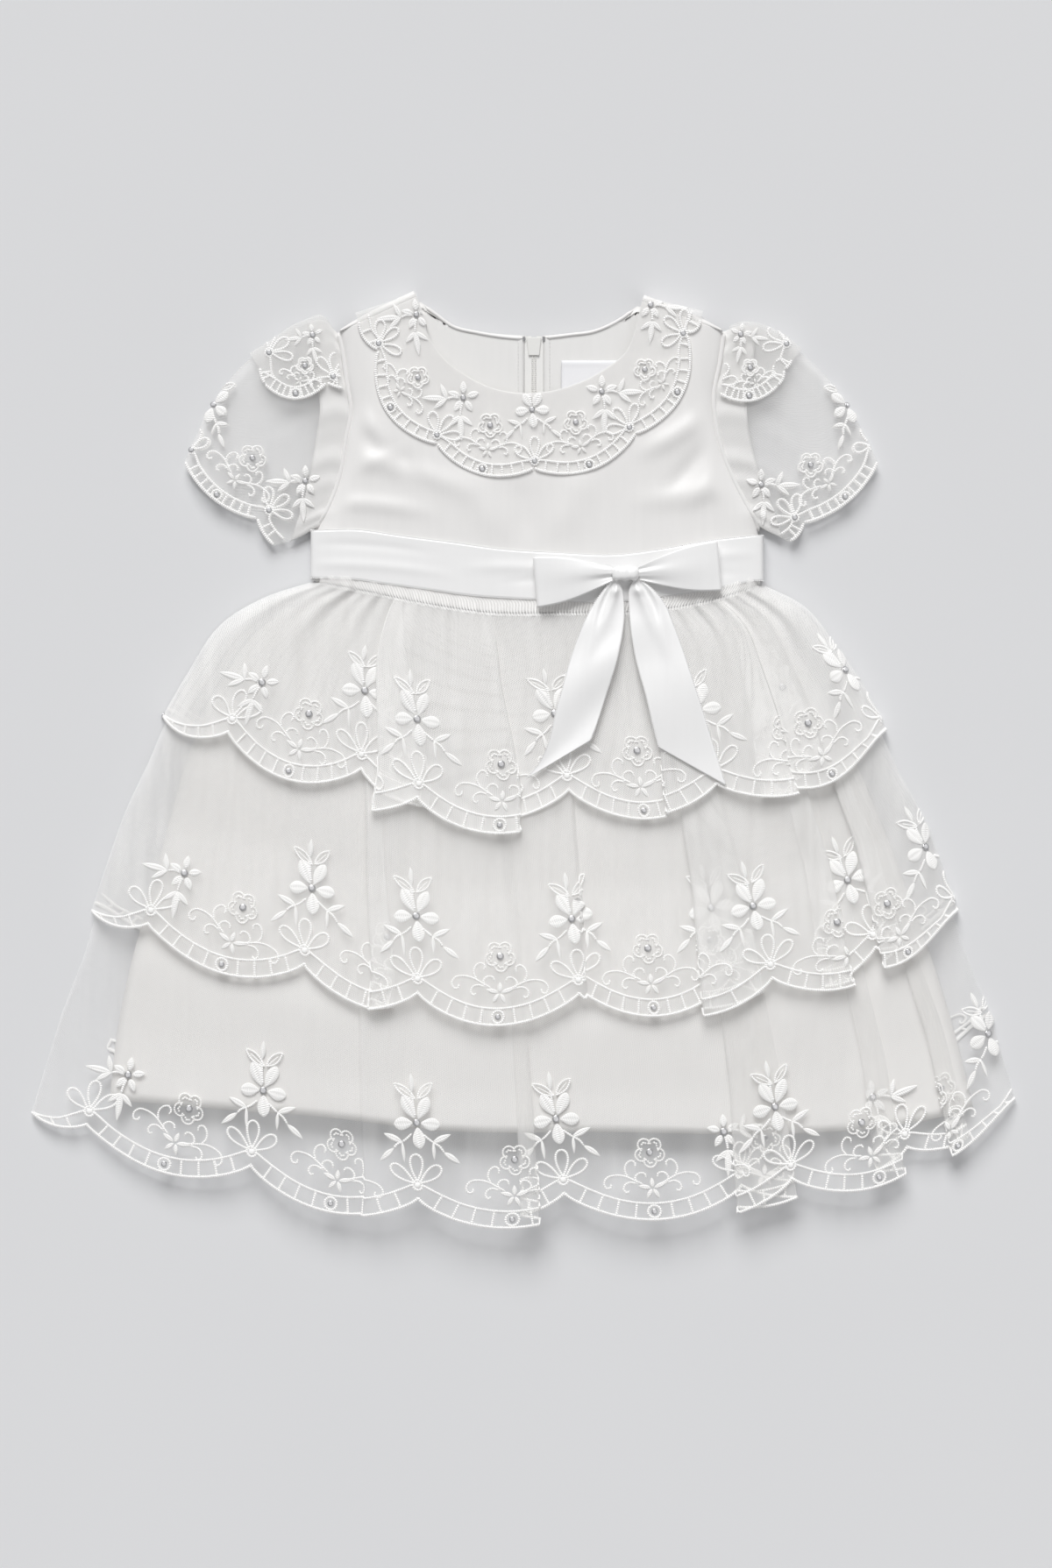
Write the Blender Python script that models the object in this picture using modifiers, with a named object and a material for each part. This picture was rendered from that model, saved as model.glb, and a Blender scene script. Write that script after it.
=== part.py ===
"""Christening gown, laid flat on its back: satin bodice with a wrapped collar and puff sleeves, a ribbon
sash with a bow, a three-tier skirt over a satin lining, and a back zip whose pull tab swings.

+X is across the gown, +Y runs from hem to neck and +Z is up; the gown lies on z = 0. Left and right in
the names are the wearer's, so wearer's left lies at +X. The sizes below are millimetres.
"""

import math

import bmesh
import bpy
import numpy as np
from mathutils import Matrix

MM = 0.001
WALL = 1.0  # cloth thickness
GAP = 0.3  # clearance between pieces that lie on each other
PLY = WALL + GAP  # one layer of a stack
CENTRE = 5.5  # x of the centre-back line

# ---------------------------------------------------------------- skirt
# down: way from waist seam (0) to the lowest tier's scallop line (1); then the two side outlines
SKIRT_SIDES = (
    # down, left x, left y, right x, right y
    (0.000, -116.4, 96.7, 130.8, 95.3),
    (0.085, -143.6, 87.5, 154.3, 82.8),
    (0.170, -167.4, 72.0, 171.3, 61.7),
    (0.250, -182.6, 49.1, 185.8, 40.5),
    (0.335, -197.1, 23.8, 198.0, 16.1),
    (0.500, -218.1, -28.9, 219.2, -32.6),
    (0.665, -236.3, -82.7, 237.2, -82.5),
    (0.830, -252.3, -137.2, 253.2, -133.1),
    (1.000, -269.3, -193.2, 268.6, -185.5),
    (1.100, -279.0, -226.0, 277.5, -217.0),
)
# how far the middle of a row hangs below its two ends, and how that sag is spread across the row
ROW_SAG = ((0.0, 17.0), (0.335, 36.0), (0.665, 43.0), (1.0, 48.5), (1.1, 49.5))
SAG_ACROSS = (
    # across (-1 left, 1 right), share of the sag
    (-1.00, 0.00),
    (-0.86, 0.17),
    (-0.50, 0.68),
    (-0.22, 0.97),
    (0.10, 0.97),
    (0.55, 0.84),
    (0.80, 0.48),
    (1.00, 0.00),
)
SKIRT_LENGTH = 330.0  # waist seam to the lowest scallop line, along the cloth
SCALLOP_DEPTH = 16.0
FOLD_RISE = 2.4  # height of a box pleat's raised panel
FOLD_RUN = 1.3  # width of the step beside it
TIERS = {"top": 0.335, "middle": 0.665, "bottom": 1.0}  # down, at each tier's scallop line
# Panels between the folds of each tier's front, left to right. The phase counts scallops, so a whole
# number is a cusp, and a jump from one row to the next is cloth folded under.
FRONT_SPACING = {"top": 8.5, "middle": 15.0, "bottom": 17.0}  # between the columns of each front
BACK_SCALLOPS = {"top": 5, "middle": 6, "bottom": 7}
# where each back's hem lies, as a share of the skirt: the lowest is pulled up under the lining
BACK_ENDS = {tier: end - 0.012 for tier, end in TIERS.items()} | {"bottom": 0.85}
TIER_PANELS = {
    "top": (
        # left x, right x, left x at the waist, first phase, last phase, raised, hem drop
        (-197.1, -79.0, -116.4, 0.50, 2.13, 0, 0.0),
        (-79.0, -1.7, -70.0, 2.75, 3.62, 1, 8.5),
        (-1.7, 75.6, -18.0, 3.67, 4.65, 0, 1.0),
        (75.6, 145.0, 62.0, 4.69, 5.43, 1, 0.0),
        (145.0, 198.0, 106.0, 6.22, 7.00, 1, 1.0),
    ),
    "middle": (
        (-236.3, -82.8, -116.4, 0.63, 2.43, 0, 0.0),
        (-82.8, 33.8, -70.0, 2.71, 4.05, 1, 3.0),
        (33.8, 95.8, 22.0, 4.05, 4.83, 0, 0.0),
        (95.8, 176.4, 66.0, 5.55, 6.48, 1, 1.0),
        (176.4, 193.2, 110.0, 6.83, 7.02, 0, 0.0),
        (193.2, 237.2, 118.0, 7.28, 8.00, 1, 1.0),
    ),
    "bottom": (
        (-269.3, -86.2, -116.4, 0.66, 2.70, 0, 0.0),
        (-86.2, 8.4, -70.0, 2.72, 3.64, 1, 1.5),
        (8.4, 115.0, -8.0, 3.86, 4.96, 0, 0.0),
        (115.0, 205.2, 72.0, 5.66, 6.65, 1, 0.0),
        (205.2, 230.6, 112.0, 6.96, 7.22, 0, 0.0),
        (230.6, 268.6, 119.0, 7.45, 7.95, 1, 2.0),
    ),
}
GATHERS = (
    # gathers across the waist, height, way down that they run
    (21, 0.8, 0.20),
    (13, 0.7, 0.30),
)
LINING_INSET = (
    # down, left inset, right inset from the tulle's outline
    (0.00, 19.0, 19.0),
    (0.40, 22.0, 21.0),
    (0.60, 27.0, 21.0),
    (0.85, 32.0, 20.0),
    (1.00, 42.0, 22.0),
)
LINING_HEM = ((-1.0, 0.955), (-0.4, 0.895), (0.0, 0.900), (0.45, 0.915), (1.0, 0.985))  # across, down
# Rows that all the skirt's sheets share: heights change in straight runs between them, so nested sheets keep
# their clearance. Sheets past a tier's hem sink over the run that follows it.
ROWS = (0.0, 0.10, 0.17, 0.26, 0.335, 0.41, 0.50, 0.62, 0.735, 0.835)
SINKS = {"top": (0.41, 0.50), "middle": (0.735, 0.835)}
FOLD_STARTS = {"top": (0.0, 0.10), "middle": (0.10, 0.26), "bottom": (0.50, 0.62)}
SIDE_ROLL = 14.0  # width over which a front panel rolls down to its side seam
ROLL_COLUMNS = (0.0, 0.7, 2.4, 5.5, 10.0)  # distances from that seam of the columns on the roll
PLY_INSET = 3.0  # from one tier's side edge to that of the tier inside it
# rise of the skirt's front off its back in the middle, where the layers stand away from each other
LOFT = 11.0
LOFT_ROWS = (  # down, share
    (0.0, 0.0), (0.17, 0.04), (0.335, 0.22), (0.5, 0.48), (0.735, 0.86), (1.1, 1.0),
)

# ---------------------------------------------------------------- bodice
BODICE_TOP = 9.0  # height of the bodice front's outer face
WAIST_GAP = 0.6  # between the bodice and the skirt, measured along y
SIDE_AND_ARMHOLE = {
    # by the wearer's side, from the waist up
    "right": (
        (-114.6, 97.2), (-112.4, 125.5), (-107.5, 133.9), (-100.7, 150.0), (-96.0, 174.3),
        (-93.4, 191.8), (-95.3, 203.9), (-98.7, 226.8), (-100.2, 233.0),
    ),
    "left": (
        (129.0, 95.8), (126.4, 128.0), (119.6, 140.6), (112.8, 154.1), (107.4, 167.6),
        (103.4, 186.5), (102.7, 198.5), (106.1, 217.4), (108.2, 233.2),
    ),
}
UNDERARM = 0.2  # share of that edge which is side seam
SHOULDER = 0.16  # share of the front's top edge that each shoulder fold takes
BACK_SHOULDER = 0.4  # the same on half of the back
SIDE_TURN, SHOULDER_TURN = 12.0, 9.0  # width over which the front rolls down at each
# how far the back's shoulder lies inside the front's fold: least, and share of its inset
BACK_LOWER = (1.2, 0.3)
LINING_OVERLAP = 8.0  # armhole points this far below the lining's lower edge still shape it
NECK_FRONT = (
    (-58.6, 251.9), (-55.6, 245.0), (-52.2, 230.9), (-44.2, 218.7), (-32.0, 209.3), (-18.6, 202.6),
    (5.5, 199.4), (32.0, 205.9), (45.5, 213.4), (56.3, 222.8), (60.3, 232.2), (63.0, 243.0),
    (64.4, 249.6),
)
NECK_BACK = (
    (-58.6, 251.9), (-48.2, 244.3), (-38.8, 237.6), (-25.3, 234.2), (5.5, 231.1), (25.2, 233.0),
    (38.7, 235.0), (48.2, 238.9), (64.4, 249.6),
)
NECK_CENTRE = 231.3  # y of the back neck at the zip
LINING_BOTTOM = 150.0  # y where the back neck's lining stops being seen
BACK_OPENING = 4.5  # half of the gap between the two backs, where the zip lies
LINING_OPENING = 7.0
BACK_INSET, LINING_BACK_INSET = 1.8, 14.0  # how far each lies inside the front's side edge

# ---------------------------------------------------------------- collar
COLLAR_TOP = BODICE_TOP + PLY
COLLAR_OUTLINE = (
    # cusp x, cusp y, bulge of the scallop that starts here
    (-90.5, 238.5, 3.0),
    (-79.9, 222.5, 14.0),
    (-47.5, 171.6, 10.5),
    (5.5, 157.9, 11.0),
    (61.0, 176.9, 13.2),
    (89.2, 231.6, 2.6),
    (96.8, 239.5, 0.0),
)
COLLAR_BACK = {
    "right": ((-90.5, 238.5), (-84.0, 214.0), (-62.0, 194.0), (-30.0, 187.0), (-0.8, 186.0)),
    "left": ((96.8, 239.5), (90.0, 214.0), (70.0, 194.0), (40.0, 187.0), (11.8, 186.0)),
}
COLLAR_OPENING = 6.3

# ---------------------------------------------------------------- sleeves
SLEEVE_LOW, SLEEVE_HIGH = 1.3, 6.9
SLEEVES = {
    "right": {
        "top": (
            (-103.4, 234.0), (-108.6, 239.4), (-122.2, 236.6), (-141.0, 225.0), (-155.8, 213.0),
            (-170.6, 193.2), (-185.5, 162.0),
        ),
        "under": ((-113.3, 126.2), (-122.2, 121.2), (-130.3, 117.8), (-137.0, 116.4)),
        "armhole": (
            (-103.4, 234.0), (-101.0, 226.8), (-97.5, 203.9), (-95.6, 191.8), (-98.2, 174.3),
            (-102.9, 150.0), (-109.0, 135.0), (-113.3, 126.2),
        ),
        "hem": ((-185.5, 162.0, 6.5), (-146.0, 131.0, 1.6), (-137.0, 116.4, 0.0)),
        "cap_top": ((-104.4, 235.4), (-109.2, 242.0), (-122.2, 238.8), (-141.4, 226.8), (-149.8, 221.6)),
        "cap_hem": ((-98.4, 201.5, 0.6), (-107.6, 204.6, 8.5), (-141.5, 204.0, 1.0), (-144.6, 213.4, 0.0)),
    },
    "left": {
        "top": (
            (111.4, 234.2), (116.0, 236.2), (132.6, 234.4), (151.0, 222.4), (168.2, 205.4),
            (181.7, 185.0), (193.7, 162.0),
        ),
        "under": ((127.4, 127.8), (131.8, 125.0), (138.5, 121.7), (145.7, 118.3)),
        "armhole": (
            (111.4, 234.2), (108.4, 217.4), (104.9, 198.5), (105.6, 186.5), (109.6, 167.6),
            (115.0, 154.1), (121.8, 140.6), (127.4, 127.8),
        ),
        "hem": ((193.7, 162.0, 6.5), (153.4, 128.6, 1.6), (145.7, 118.3, 0.0)),
        "cap_top": ((112.6, 236.6), (118.0, 238.6), (133.2, 236.4), (142.3, 231.6), (151.9, 224.1)),
        "cap_hem": ((106.6, 199.0, 6.5), (138.6, 203.0, 1.5), (142.6, 212.0, 0.8), (146.8, 217.6, 0.0)),
    },
}
CAP_TOP = SLEEVE_HIGH + PLY

# ---------------------------------------------------------------- sash and bow
SASH_LOWER = (
    (-116.4, 98.3), (-96.2, 97.5), (-77.5, 95.0), (-59.3, 92.7), (-31.9, 89.0), (4.1, 86.8),
    (49.2, 85.2), (78.0, 88.1), (108.2, 92.4), (130.8, 96.9),
)
SASH_UPPER = (
    (-116.4, 124.6), (-96.2, 124.9), (-68.4, 121.3), (-41.0, 118.0), (-13.2, 114.3), (19.4, 112.3),
    (53.5, 111.3), (77.0, 114.1), (105.4, 118.9), (130.8, 121.7),
)
SASH_TOP = BODICE_TOP + PLY
KNOT = (56.2, 99.6)  # centre of the bow's knot
KNOT_SIZE = (13.0, 10.0, 6.6)
BOW_FLOOR = 11.4
LOOPS = {
    # end near the knot (half width), far edge upper and lower corner
    "right": ((47.4, 99.0, 5.6), (5.2, 109.4), (7.6, 82.4)),
    "left": ((64.8, 99.4, 5.6), (105.2, 118.2), (107.4, 91.6)),
}
LOOP_RISE = 4.8  # outside height of a loop: two plies and the air between them
TAILS = {
    "right": (
        ((49.6, 92.6), (39.4, 83.4), (28.2, 62.6), (19.0, 31.4), (8.4, -2.2), (1.7, -10.8)),
        ((54.6, 92.4), (54.2, 82.0), (51.6, 57.8), (44.4, 33.8), (38.6, 16.0), (36.2, 9.8)),
    ),
    "left": (
        ((57.4, 92.2), (58.2, 82.0), (60.2, 57.8), (67.0, 31.4), (71.6, 12.0), (73.2, 6.0)),
        ((62.6, 92.6), (74.6, 87.0), (81.8, 72.0), (92.4, 41.0), (105.2, 0.4), (109.7, -14.6)),
    ),
}
TAIL_HEIGHT = (
    # y, height of a tail's face: off the knot, then on the skirt as that lofts
    (95.0, 12.6),
    (84.0, 13.4),
    (72.0, 15.0),
    (50.0, 17.2),
    (20.0, 17.8),
    (-20.0, 19.4),
)

# ---------------------------------------------------------------- zip
ZIP_TAPE = (12.0, 98.5, 231.0)  # half width, bottom y, top y
SLIDER = (4.0, 220.4, 230.2)  # half width, bottom y, top y
SLIDER_TAPER = 0.72  # width of the slider's lower end over its upper end
OUTER_PLATE = (3.5, 220.8, 229.8)
SLIDER_POST = (1.2, 226.4, 229.4)
TAPE_NOTCH = (1.6, 225.8)  # half width, bottom y
PLATE = 0.9
STOP = (1.4, 228.4, 230.6, 0.8)  # width, bottom y, top y, thickness
STOP_X = 5.4  # from the centre line
LUG, LUG_X = 0.8, 2.4  # a lug's width, and its distance from the centre line
PIN_Y, PIN_Z, PIN_RADIUS = 224.2, 0.85, 0.3
EYE_INNER, EYE_OUTER, EYE_HALF_WIDTH = 0.42, 0.66, 1.5
TAB = (2.4, 14.0, 0.6)  # half width, length, thickness
LABEL = (20.4, 56.0, 189.0, 217.4)  # left x, right x, bottom y, top y
LABEL_THICKNESS = 0.8

MATERIALS = {
    # name: colour, roughness, metallic
    "satin": ((0.93, 0.93, 0.92), 0.32, 0.0),
    "lining": ((0.94, 0.93, 0.90), 0.45, 0.0),
    "tulle": ((0.91, 0.91, 0.91), 0.80, 0.0),
    "ribbon": ((0.95, 0.95, 0.95), 0.28, 0.0),
    "zip": ((0.90, 0.89, 0.86), 0.55, 0.0),
    "metal": ((0.72, 0.72, 0.73), 0.30, 1.0),
    "label": ((0.96, 0.96, 0.96), 0.60, 0.0),
}


def clear_scene():
    for item in list(bpy.data.objects):
        bpy.data.objects.remove(item, do_unlink=True)


def collection(name):
    made = bpy.data.collections.new(name)
    bpy.context.scene.collection.children.link(made)
    return made


def material(name):
    """The Principled material of that name, made the first time it is asked for."""
    if name in bpy.data.materials:
        return bpy.data.materials[name]
    colour, roughness, metallic = MATERIALS[name]
    made = bpy.data.materials.new(name)
    made.use_nodes = True
    shader = made.node_tree.nodes["Principled BSDF"]
    shader.inputs["Base Color"].default_value = (*colour, 1.0)
    shader.inputs["Roughness"].default_value = roughness
    shader.inputs["Metallic"].default_value = metallic
    return made


# ---------------------------------------------------------------- curves
def smooth(low, high, x):
    """0 below low, 1 above high, and an S-shaped step between."""
    t = np.clip((np.asarray(x, float) - low) / (high - low), 0.0, 1.0)
    return t * t * (3.0 - 2.0 * t)


def spline(table, x):
    """Smooth curve through a table's rows, read by its first column: cubic pieces with central slopes."""
    table = np.asarray(table, float)
    knots, rows = table[:, 0], table[:, 1:]
    slopes = np.gradient(rows, knots, axis=0)
    x = np.asarray(x, float)
    i = np.clip(np.searchsorted(knots, x) - 1, 0, len(knots) - 2)
    width = (knots[i + 1] - knots[i])[..., None]
    t = (x[..., None] - knots[i][..., None]) / width
    start = (2 * t**3 - 3 * t**2 + 1) * rows[i] + (t**3 - 2 * t**2 + t) * width * slopes[i]
    end = (3 * t**2 - 2 * t**3) * rows[i + 1] + (t**3 - t**2) * width * slopes[i + 1]
    return (start + end)[..., 0] if rows.shape[1] == 1 else start + end


def along(points, t):
    """Points at shares t (0 to 1) of the way along a smooth curve through the given points."""
    points = np.asarray(points, float)
    way = np.concatenate([[0.0], np.cumsum(np.linalg.norm(np.diff(points, axis=0), axis=1))])
    return spline(np.column_stack([way / way[-1], points]), t)


def scalloped(cusps, t):
    """Points along a row of round scallops: straight chords between the cusps, each bulged to its right."""
    cusps = np.asarray(cusps, float)
    points, bulge = cusps[:, :2], cusps[:, 2]
    chords = np.diff(points, axis=0)
    lengths = np.linalg.norm(chords, axis=1)
    way = np.concatenate([[0.0], np.cumsum(lengths)]) / lengths.sum()
    t = np.asarray(t, float)
    i = np.clip(np.searchsorted(way, t, side="right") - 1, 0, len(chords) - 1)
    f = (t - way[i]) / (way[i + 1] - way[i])
    outward = np.column_stack([chords[:, 1], -chords[:, 0]]) / lengths[:, None]
    return points[i] + f[:, None] * chords[i] + (bulge[i] * round_arch(f))[:, None] * outward[i]


def round_arch(f):
    """A scallop's outline over its chord: 0 at both cusps, 1 in the middle, rounder than a sine."""
    return np.sin(np.pi * np.clip(f, 0.0, 1.0)) ** 0.75


def quarter(e):
    """Quarter circle that rises from 0 at e = 0 to 1 at e = 1 and stays there."""
    return np.sqrt(1.0 - (1.0 - np.clip(e, 0.0, 1.0)) ** 2)


def folded_edge(count):
    """Half turn from on top to beneath, squarer than a half circle: how far out, how far up (1 to -1)."""
    turn = np.linspace(0.0, np.pi, count)
    side, up = np.sin(turn), np.cos(turn)
    return side**0.6, np.sign(up) * np.abs(up) ** 0.6


def edged(count, *near):
    """Shares 0 to 1 in even steps, with extra ones near both ends for a rolled edge."""
    even = np.linspace(0.0, 1.0, count)
    inside = even[(even > near[-1]) & (even < 1 - near[-1])]
    near = np.asarray(near)
    return np.concatenate([[0.0], near, inside, 1.0 - near[::-1], [1.0]])


def filled(bottom, top, left, right, u, v):
    """Flat patch between four edge curves: the blend of both ruled surfaces less their shared corners."""
    u, v = u[:, None, None], v[None, :, None]
    bottom, top, left, right = bottom[:, None], top[:, None], left[None], right[None]
    across = (1 - u) * left + u * right
    upward = (1 - v) * bottom + v * top
    low_corners = (1 - u) * left[:, :1] + u * right[:, :1]
    high_corners = (1 - u) * left[:, -1:] + u * right[:, -1:]
    return across + upward - (1 - v) * low_corners - v * high_corners


def raised(plan, height):
    """Grid of 3-D points over a grid of plan points."""
    return np.concatenate([plan, np.broadcast_to(height, plan.shape[:2])[..., None]], axis=2)


# ---------------------------------------------------------------- meshes
def grid_object(name, grid, ring=False, flip=False):
    """Open surface over a grid of points in millimetres. A ring joins the last row to the first."""
    rows, columns = grid.shape[:2]
    index = np.arange(rows * columns).reshape(rows, columns)
    following = np.roll(index, -1, axis=0) if ring else index[1:]
    index = index if ring else index[:-1]
    corners = [index[:, :-1], following[:, :-1], following[:, 1:], index[:, 1:]]
    quads = np.stack(corners, axis=2).reshape(-1, 4)
    mesh = bpy.data.meshes.new(name)
    mesh.from_pydata((grid.reshape(-1, 3) * MM).tolist(), [], (quads[:, ::-1] if flip else quads).tolist())
    mesh.shade_smooth()
    return bpy.data.objects.new(name, mesh)


def cloth(name, grid, stuff, ring=False, flip=False):
    """Cloth piece: the grid is its outer face, and the wall goes inwards from it."""
    piece = grid_object(name, grid, ring, flip)
    piece.data.materials.append(material(stuff))
    wall = piece.modifiers.new("wall", "SOLIDIFY")
    wall.thickness = WALL * MM
    wall.offset = -1.0
    wall.use_quality_normals = True
    bpy.data.collections[GOWN].objects.link(piece)
    return piece


def box(name, low, high, stuff, helper=False):
    """Box between two corners; a helper is only for another piece's Boolean."""
    low, high = np.asarray(low, float), np.asarray(high, float)
    mesh = bpy.data.meshes.new(name)
    shape = bmesh.new()
    bmesh.ops.create_cube(shape, size=1.0)
    bmesh.ops.scale(shape, vec=(high - low) * MM, verts=shape.verts)
    shape.to_mesh(mesh)
    shape.free()
    return placed(name, mesh, (low + high) / 2, stuff, helper)


def rod(name, centre, radius, length, stuff, helper=False):
    """Round bar along x."""
    mesh = bpy.data.meshes.new(name)
    shape = bmesh.new()
    bmesh.ops.create_cone(
        shape, cap_ends=True, segments=16, radius1=radius * MM, radius2=radius * MM, depth=length * MM
    )
    bmesh.ops.rotate(shape, verts=shape.verts, matrix=Matrix.Rotation(math.pi / 2.0, 3, "Y"))
    shape.to_mesh(mesh)
    shape.free()
    return placed(name, mesh, centre, stuff, helper)


def placed(name, mesh, centre, stuff, helper):
    item = bpy.data.objects.new(name, mesh)
    item.location = np.asarray(centre, float) * MM
    mesh.materials.append(material(stuff))
    item.hide_render = helper
    item.display_type = "WIRE" if helper else "TEXTURED"
    bpy.data.collections[TOOLS if helper else GOWN].objects.link(item)
    return item


def boolean(item, other, operation):
    step = item.modifiers.new(other.name, "BOOLEAN")
    step.object = other
    step.operation = operation


# ---------------------------------------------------------------- skirt
def skirt_plan(across, down):
    """Plan points of the skirt: across runs between the two side outlines, and rows sag in the middle."""
    left_x, left_y, right_x, right_y = np.moveaxis(spline(SKIRT_SIDES, down), -1, 0)
    share = (across + 1.0) / 2.0
    x = left_x + (right_x - left_x) * share
    y = left_y + (right_y - left_y) * share - spline(ROW_SAG, down) * spline(SAG_ACROSS, across)
    return np.stack([x, y], axis=-1)


def skirt_width(down):
    sides = spline(SKIRT_SIDES, down)
    return sides[..., 2] - sides[..., 0]


def across_of(x, down):
    """Where x lies between the side outlines, from -1 to 1."""
    sides = spline(SKIRT_SIDES, down)
    return 2.0 * (x - sides[..., 0]) / (sides[..., 2] - sides[..., 0]) - 1.0


def flare(down, end):
    """How much of the widening between waist and end has come by then, from 0 to 1."""
    waist = skirt_width(np.float64(0.0))
    return (skirt_width(down) - waist) / (skirt_width(np.float64(end)) - waist)


def plies_outside(tier, down):
    """How many tiers still lie outside this one, at that way down: it falls by one past each hem."""
    count = np.zeros_like(down)
    for other, sink in SINKS.items():
        if TIERS[other] < TIERS[tier]:
            count = count + np.interp(down, sink, (1.0, 0.0))
    return count


def back_height(tier, down):
    """Height of the outer tiers' back panels: each sinks to the ground past the hem of the one outside."""
    return WALL + PLY * plies_outside(tier, down)


def loft(across, down):
    """How far the fronts stand up: nothing at the waist and side seams, most in the middle of the hem."""
    shares = np.asarray(LOFT_ROWS)
    middle = 1.0 - np.clip(np.abs(across), 0.0, 1.0) ** 2
    return LOFT * np.interp(down, shares[:, 0], shares[:, 1]) * middle


def lining_height(down, front):
    return back_height("bottom", down) + PLY * (2 if front else 1)


def front_height(tier, down):
    """Height of a tier's front before its folds: clear of the folds of the tier beneath it."""
    height = lining_height(down, True) + PLY
    for beneath in TIERS:
        if TIERS[beneath] > TIERS[tier]:
            height = height + PLY + FOLD_RISE * np.interp(down, FOLD_STARTS[beneath], (0.0, 1.0))
    return height


def sheet_rows(end, length, first=0.0):
    """Way down of every point of a sheet: the shared rows, one just above the scallops, and its own hem."""
    shared = [first] + [row for row in ROWS if first < row < end - 0.045]
    rows = np.repeat(np.array(shared + [end - 0.03])[None, :], len(length), axis=0)
    return np.column_stack([rows, length])


def rolled_steps(width, spacing, roll_left, roll_right):
    """Distances from a panel's left edge to its columns, closer together where a side edge rolls down."""
    even = np.linspace(0.0, width, max(3, round(width / spacing) + 1))
    rolled = np.array(ROLL_COLUMNS)
    if roll_left:
        even = np.concatenate([rolled, even[even > SIDE_ROLL]])
    if roll_right:
        even = np.concatenate([even[even < width - SIDE_ROLL], width - rolled[::-1]])
    return even


def panel_columns(tier, spacing):
    """Columns across a tier's front: hem x, waist x, scallop phase, raised or not, and hem drop."""
    panels = TIER_PANELS[tier]
    waist_ends = [panel[2] for panel in panels[1:]] + [SKIRT_SIDES[0][3]]
    last_panel = len(panels) - 1
    columns = []
    for i, (left, right, waist_left, first, last, lifted, drop) in enumerate(panels):
        left += 0.0 if i == 0 else FOLD_RUN / 2
        right -= 0.0 if i == last_panel else FOLD_RUN / 2
        steps = rolled_steps(right - left, spacing, i == 0, i == last_panel)
        start = np.array([left, waist_left, first, lifted, drop])
        end = np.array([right, waist_ends[i], last, lifted, drop])
        columns.append(start + (end - start) * (steps / (right - left))[:, None])
    return np.concatenate(columns)


def tier_front(tier, spacing):
    """One tier's front: fan-shaped, box-pleated, gathered at the waist and scalloped at the hem."""
    end = TIERS[tier]
    hem_x, waist_x, phase, lifted, drop = panel_columns(tier, spacing).T
    hem_across = across_of(hem_x, np.full_like(hem_x, end))
    waist_across = across_of(waist_x, np.zeros_like(waist_x))
    corner = 1.0 - np.abs(hem_across) ** 10
    length = end + (SCALLOP_DEPTH * round_arch(phase % 1.0) + drop) * corner / SKIRT_LENGTH
    down = sheet_rows(end, length)
    across = waist_across[:, None] + (hem_across - waist_across)[:, None] * np.minimum(flare(down, end), 1.0)
    inset = PLY_INSET * plies_outside(tier, down)
    half_width = skirt_width(down) / 2.0
    edge = (1.0 - np.abs(across)) * half_width
    across = across * (1.0 - inset / half_width)
    low = back_height(tier, down) + 2.0 * GAP
    height = front_height(tier, down)
    height = height + lifted[:, None] * FOLD_RISE * np.interp(down, FOLD_STARTS[tier], (0.0, 1.0))
    if tier == "top":
        uneven = (waist_across + 0.11 * waist_across**2)[:, None]
        for count, rise, reach in GATHERS:
            wave = 0.5 + 0.5 * np.cos(np.pi * count * uneven)
            height = height + rise * wave * (1.0 - smooth(0.3 * reach, reach, down))
    height = low + (height + loft(across, down) - low) * quarter(edge / SIDE_ROLL)
    return cloth(f"tier_{tier}_front", raised(skirt_plan(across, down), height), "tulle", flip=True)


def tier_back(tier):
    """One tier's back: flat beneath the front, with the same run of scallops."""
    end = BACK_ENDS[tier]
    scallops = BACK_SCALLOPS[tier]
    across = np.linspace(-1.0, 1.0, 4 * scallops + 1)
    phase = np.linspace(0.0, scallops, 4 * scallops + 1)
    length = end + 0.8 * SCALLOP_DEPTH / SKIRT_LENGTH * round_arch(phase % 1.0) * (1.0 - across**10)
    down = sheet_rows(end + 0.012, length, 0.012)
    half_width = skirt_width(down) / 2.0
    across = across[:, None] * (1.0 - PLY_INSET * plies_outside(tier, down) / half_width)
    grid = raised(skirt_plan(across, down), back_height(tier, down))
    return cloth(f"tier_{tier}_back", grid, "tulle", flip=True)


def skirt_lining(front):
    """Satin underskirt, a little narrower and shorter than the lowest tier."""
    across = np.linspace(-1.0, 1.0, 13)
    length = spline(LINING_HEM, across) - (0.0 if front else 0.01)
    down = sheet_rows(0.885, length, 0.006)
    half_width = skirt_width(down) / 2.0
    left, right = np.moveaxis(spline(LINING_INSET, down), -1, 0)
    share = (across[:, None] + 1.0) / 2.0
    across = (across[:, None] * half_width + left * (1.0 - share) - right * share) / half_width
    height = lining_height(down, front) + (loft(across, down) if front else 0.0)
    grid = raised(skirt_plan(across, down), height)
    return cloth("skirt_lining_front" if front else "skirt_lining_back", grid, "lining", flip=True)


# ---------------------------------------------------------------- bodice
def waist_seam(u):
    """The bodice's lower edge: the skirt's top row, moved up by the seam's gap."""
    left, right = SIDE_AND_ARMHOLE["right"][0][0], SIDE_AND_ARMHOLE["left"][0][0]
    x = left + (right - left) * np.asarray(u)
    return skirt_plan(across_of(x, np.zeros_like(x)), np.zeros_like(x)) + [0.0, WAIST_GAP]


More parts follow.
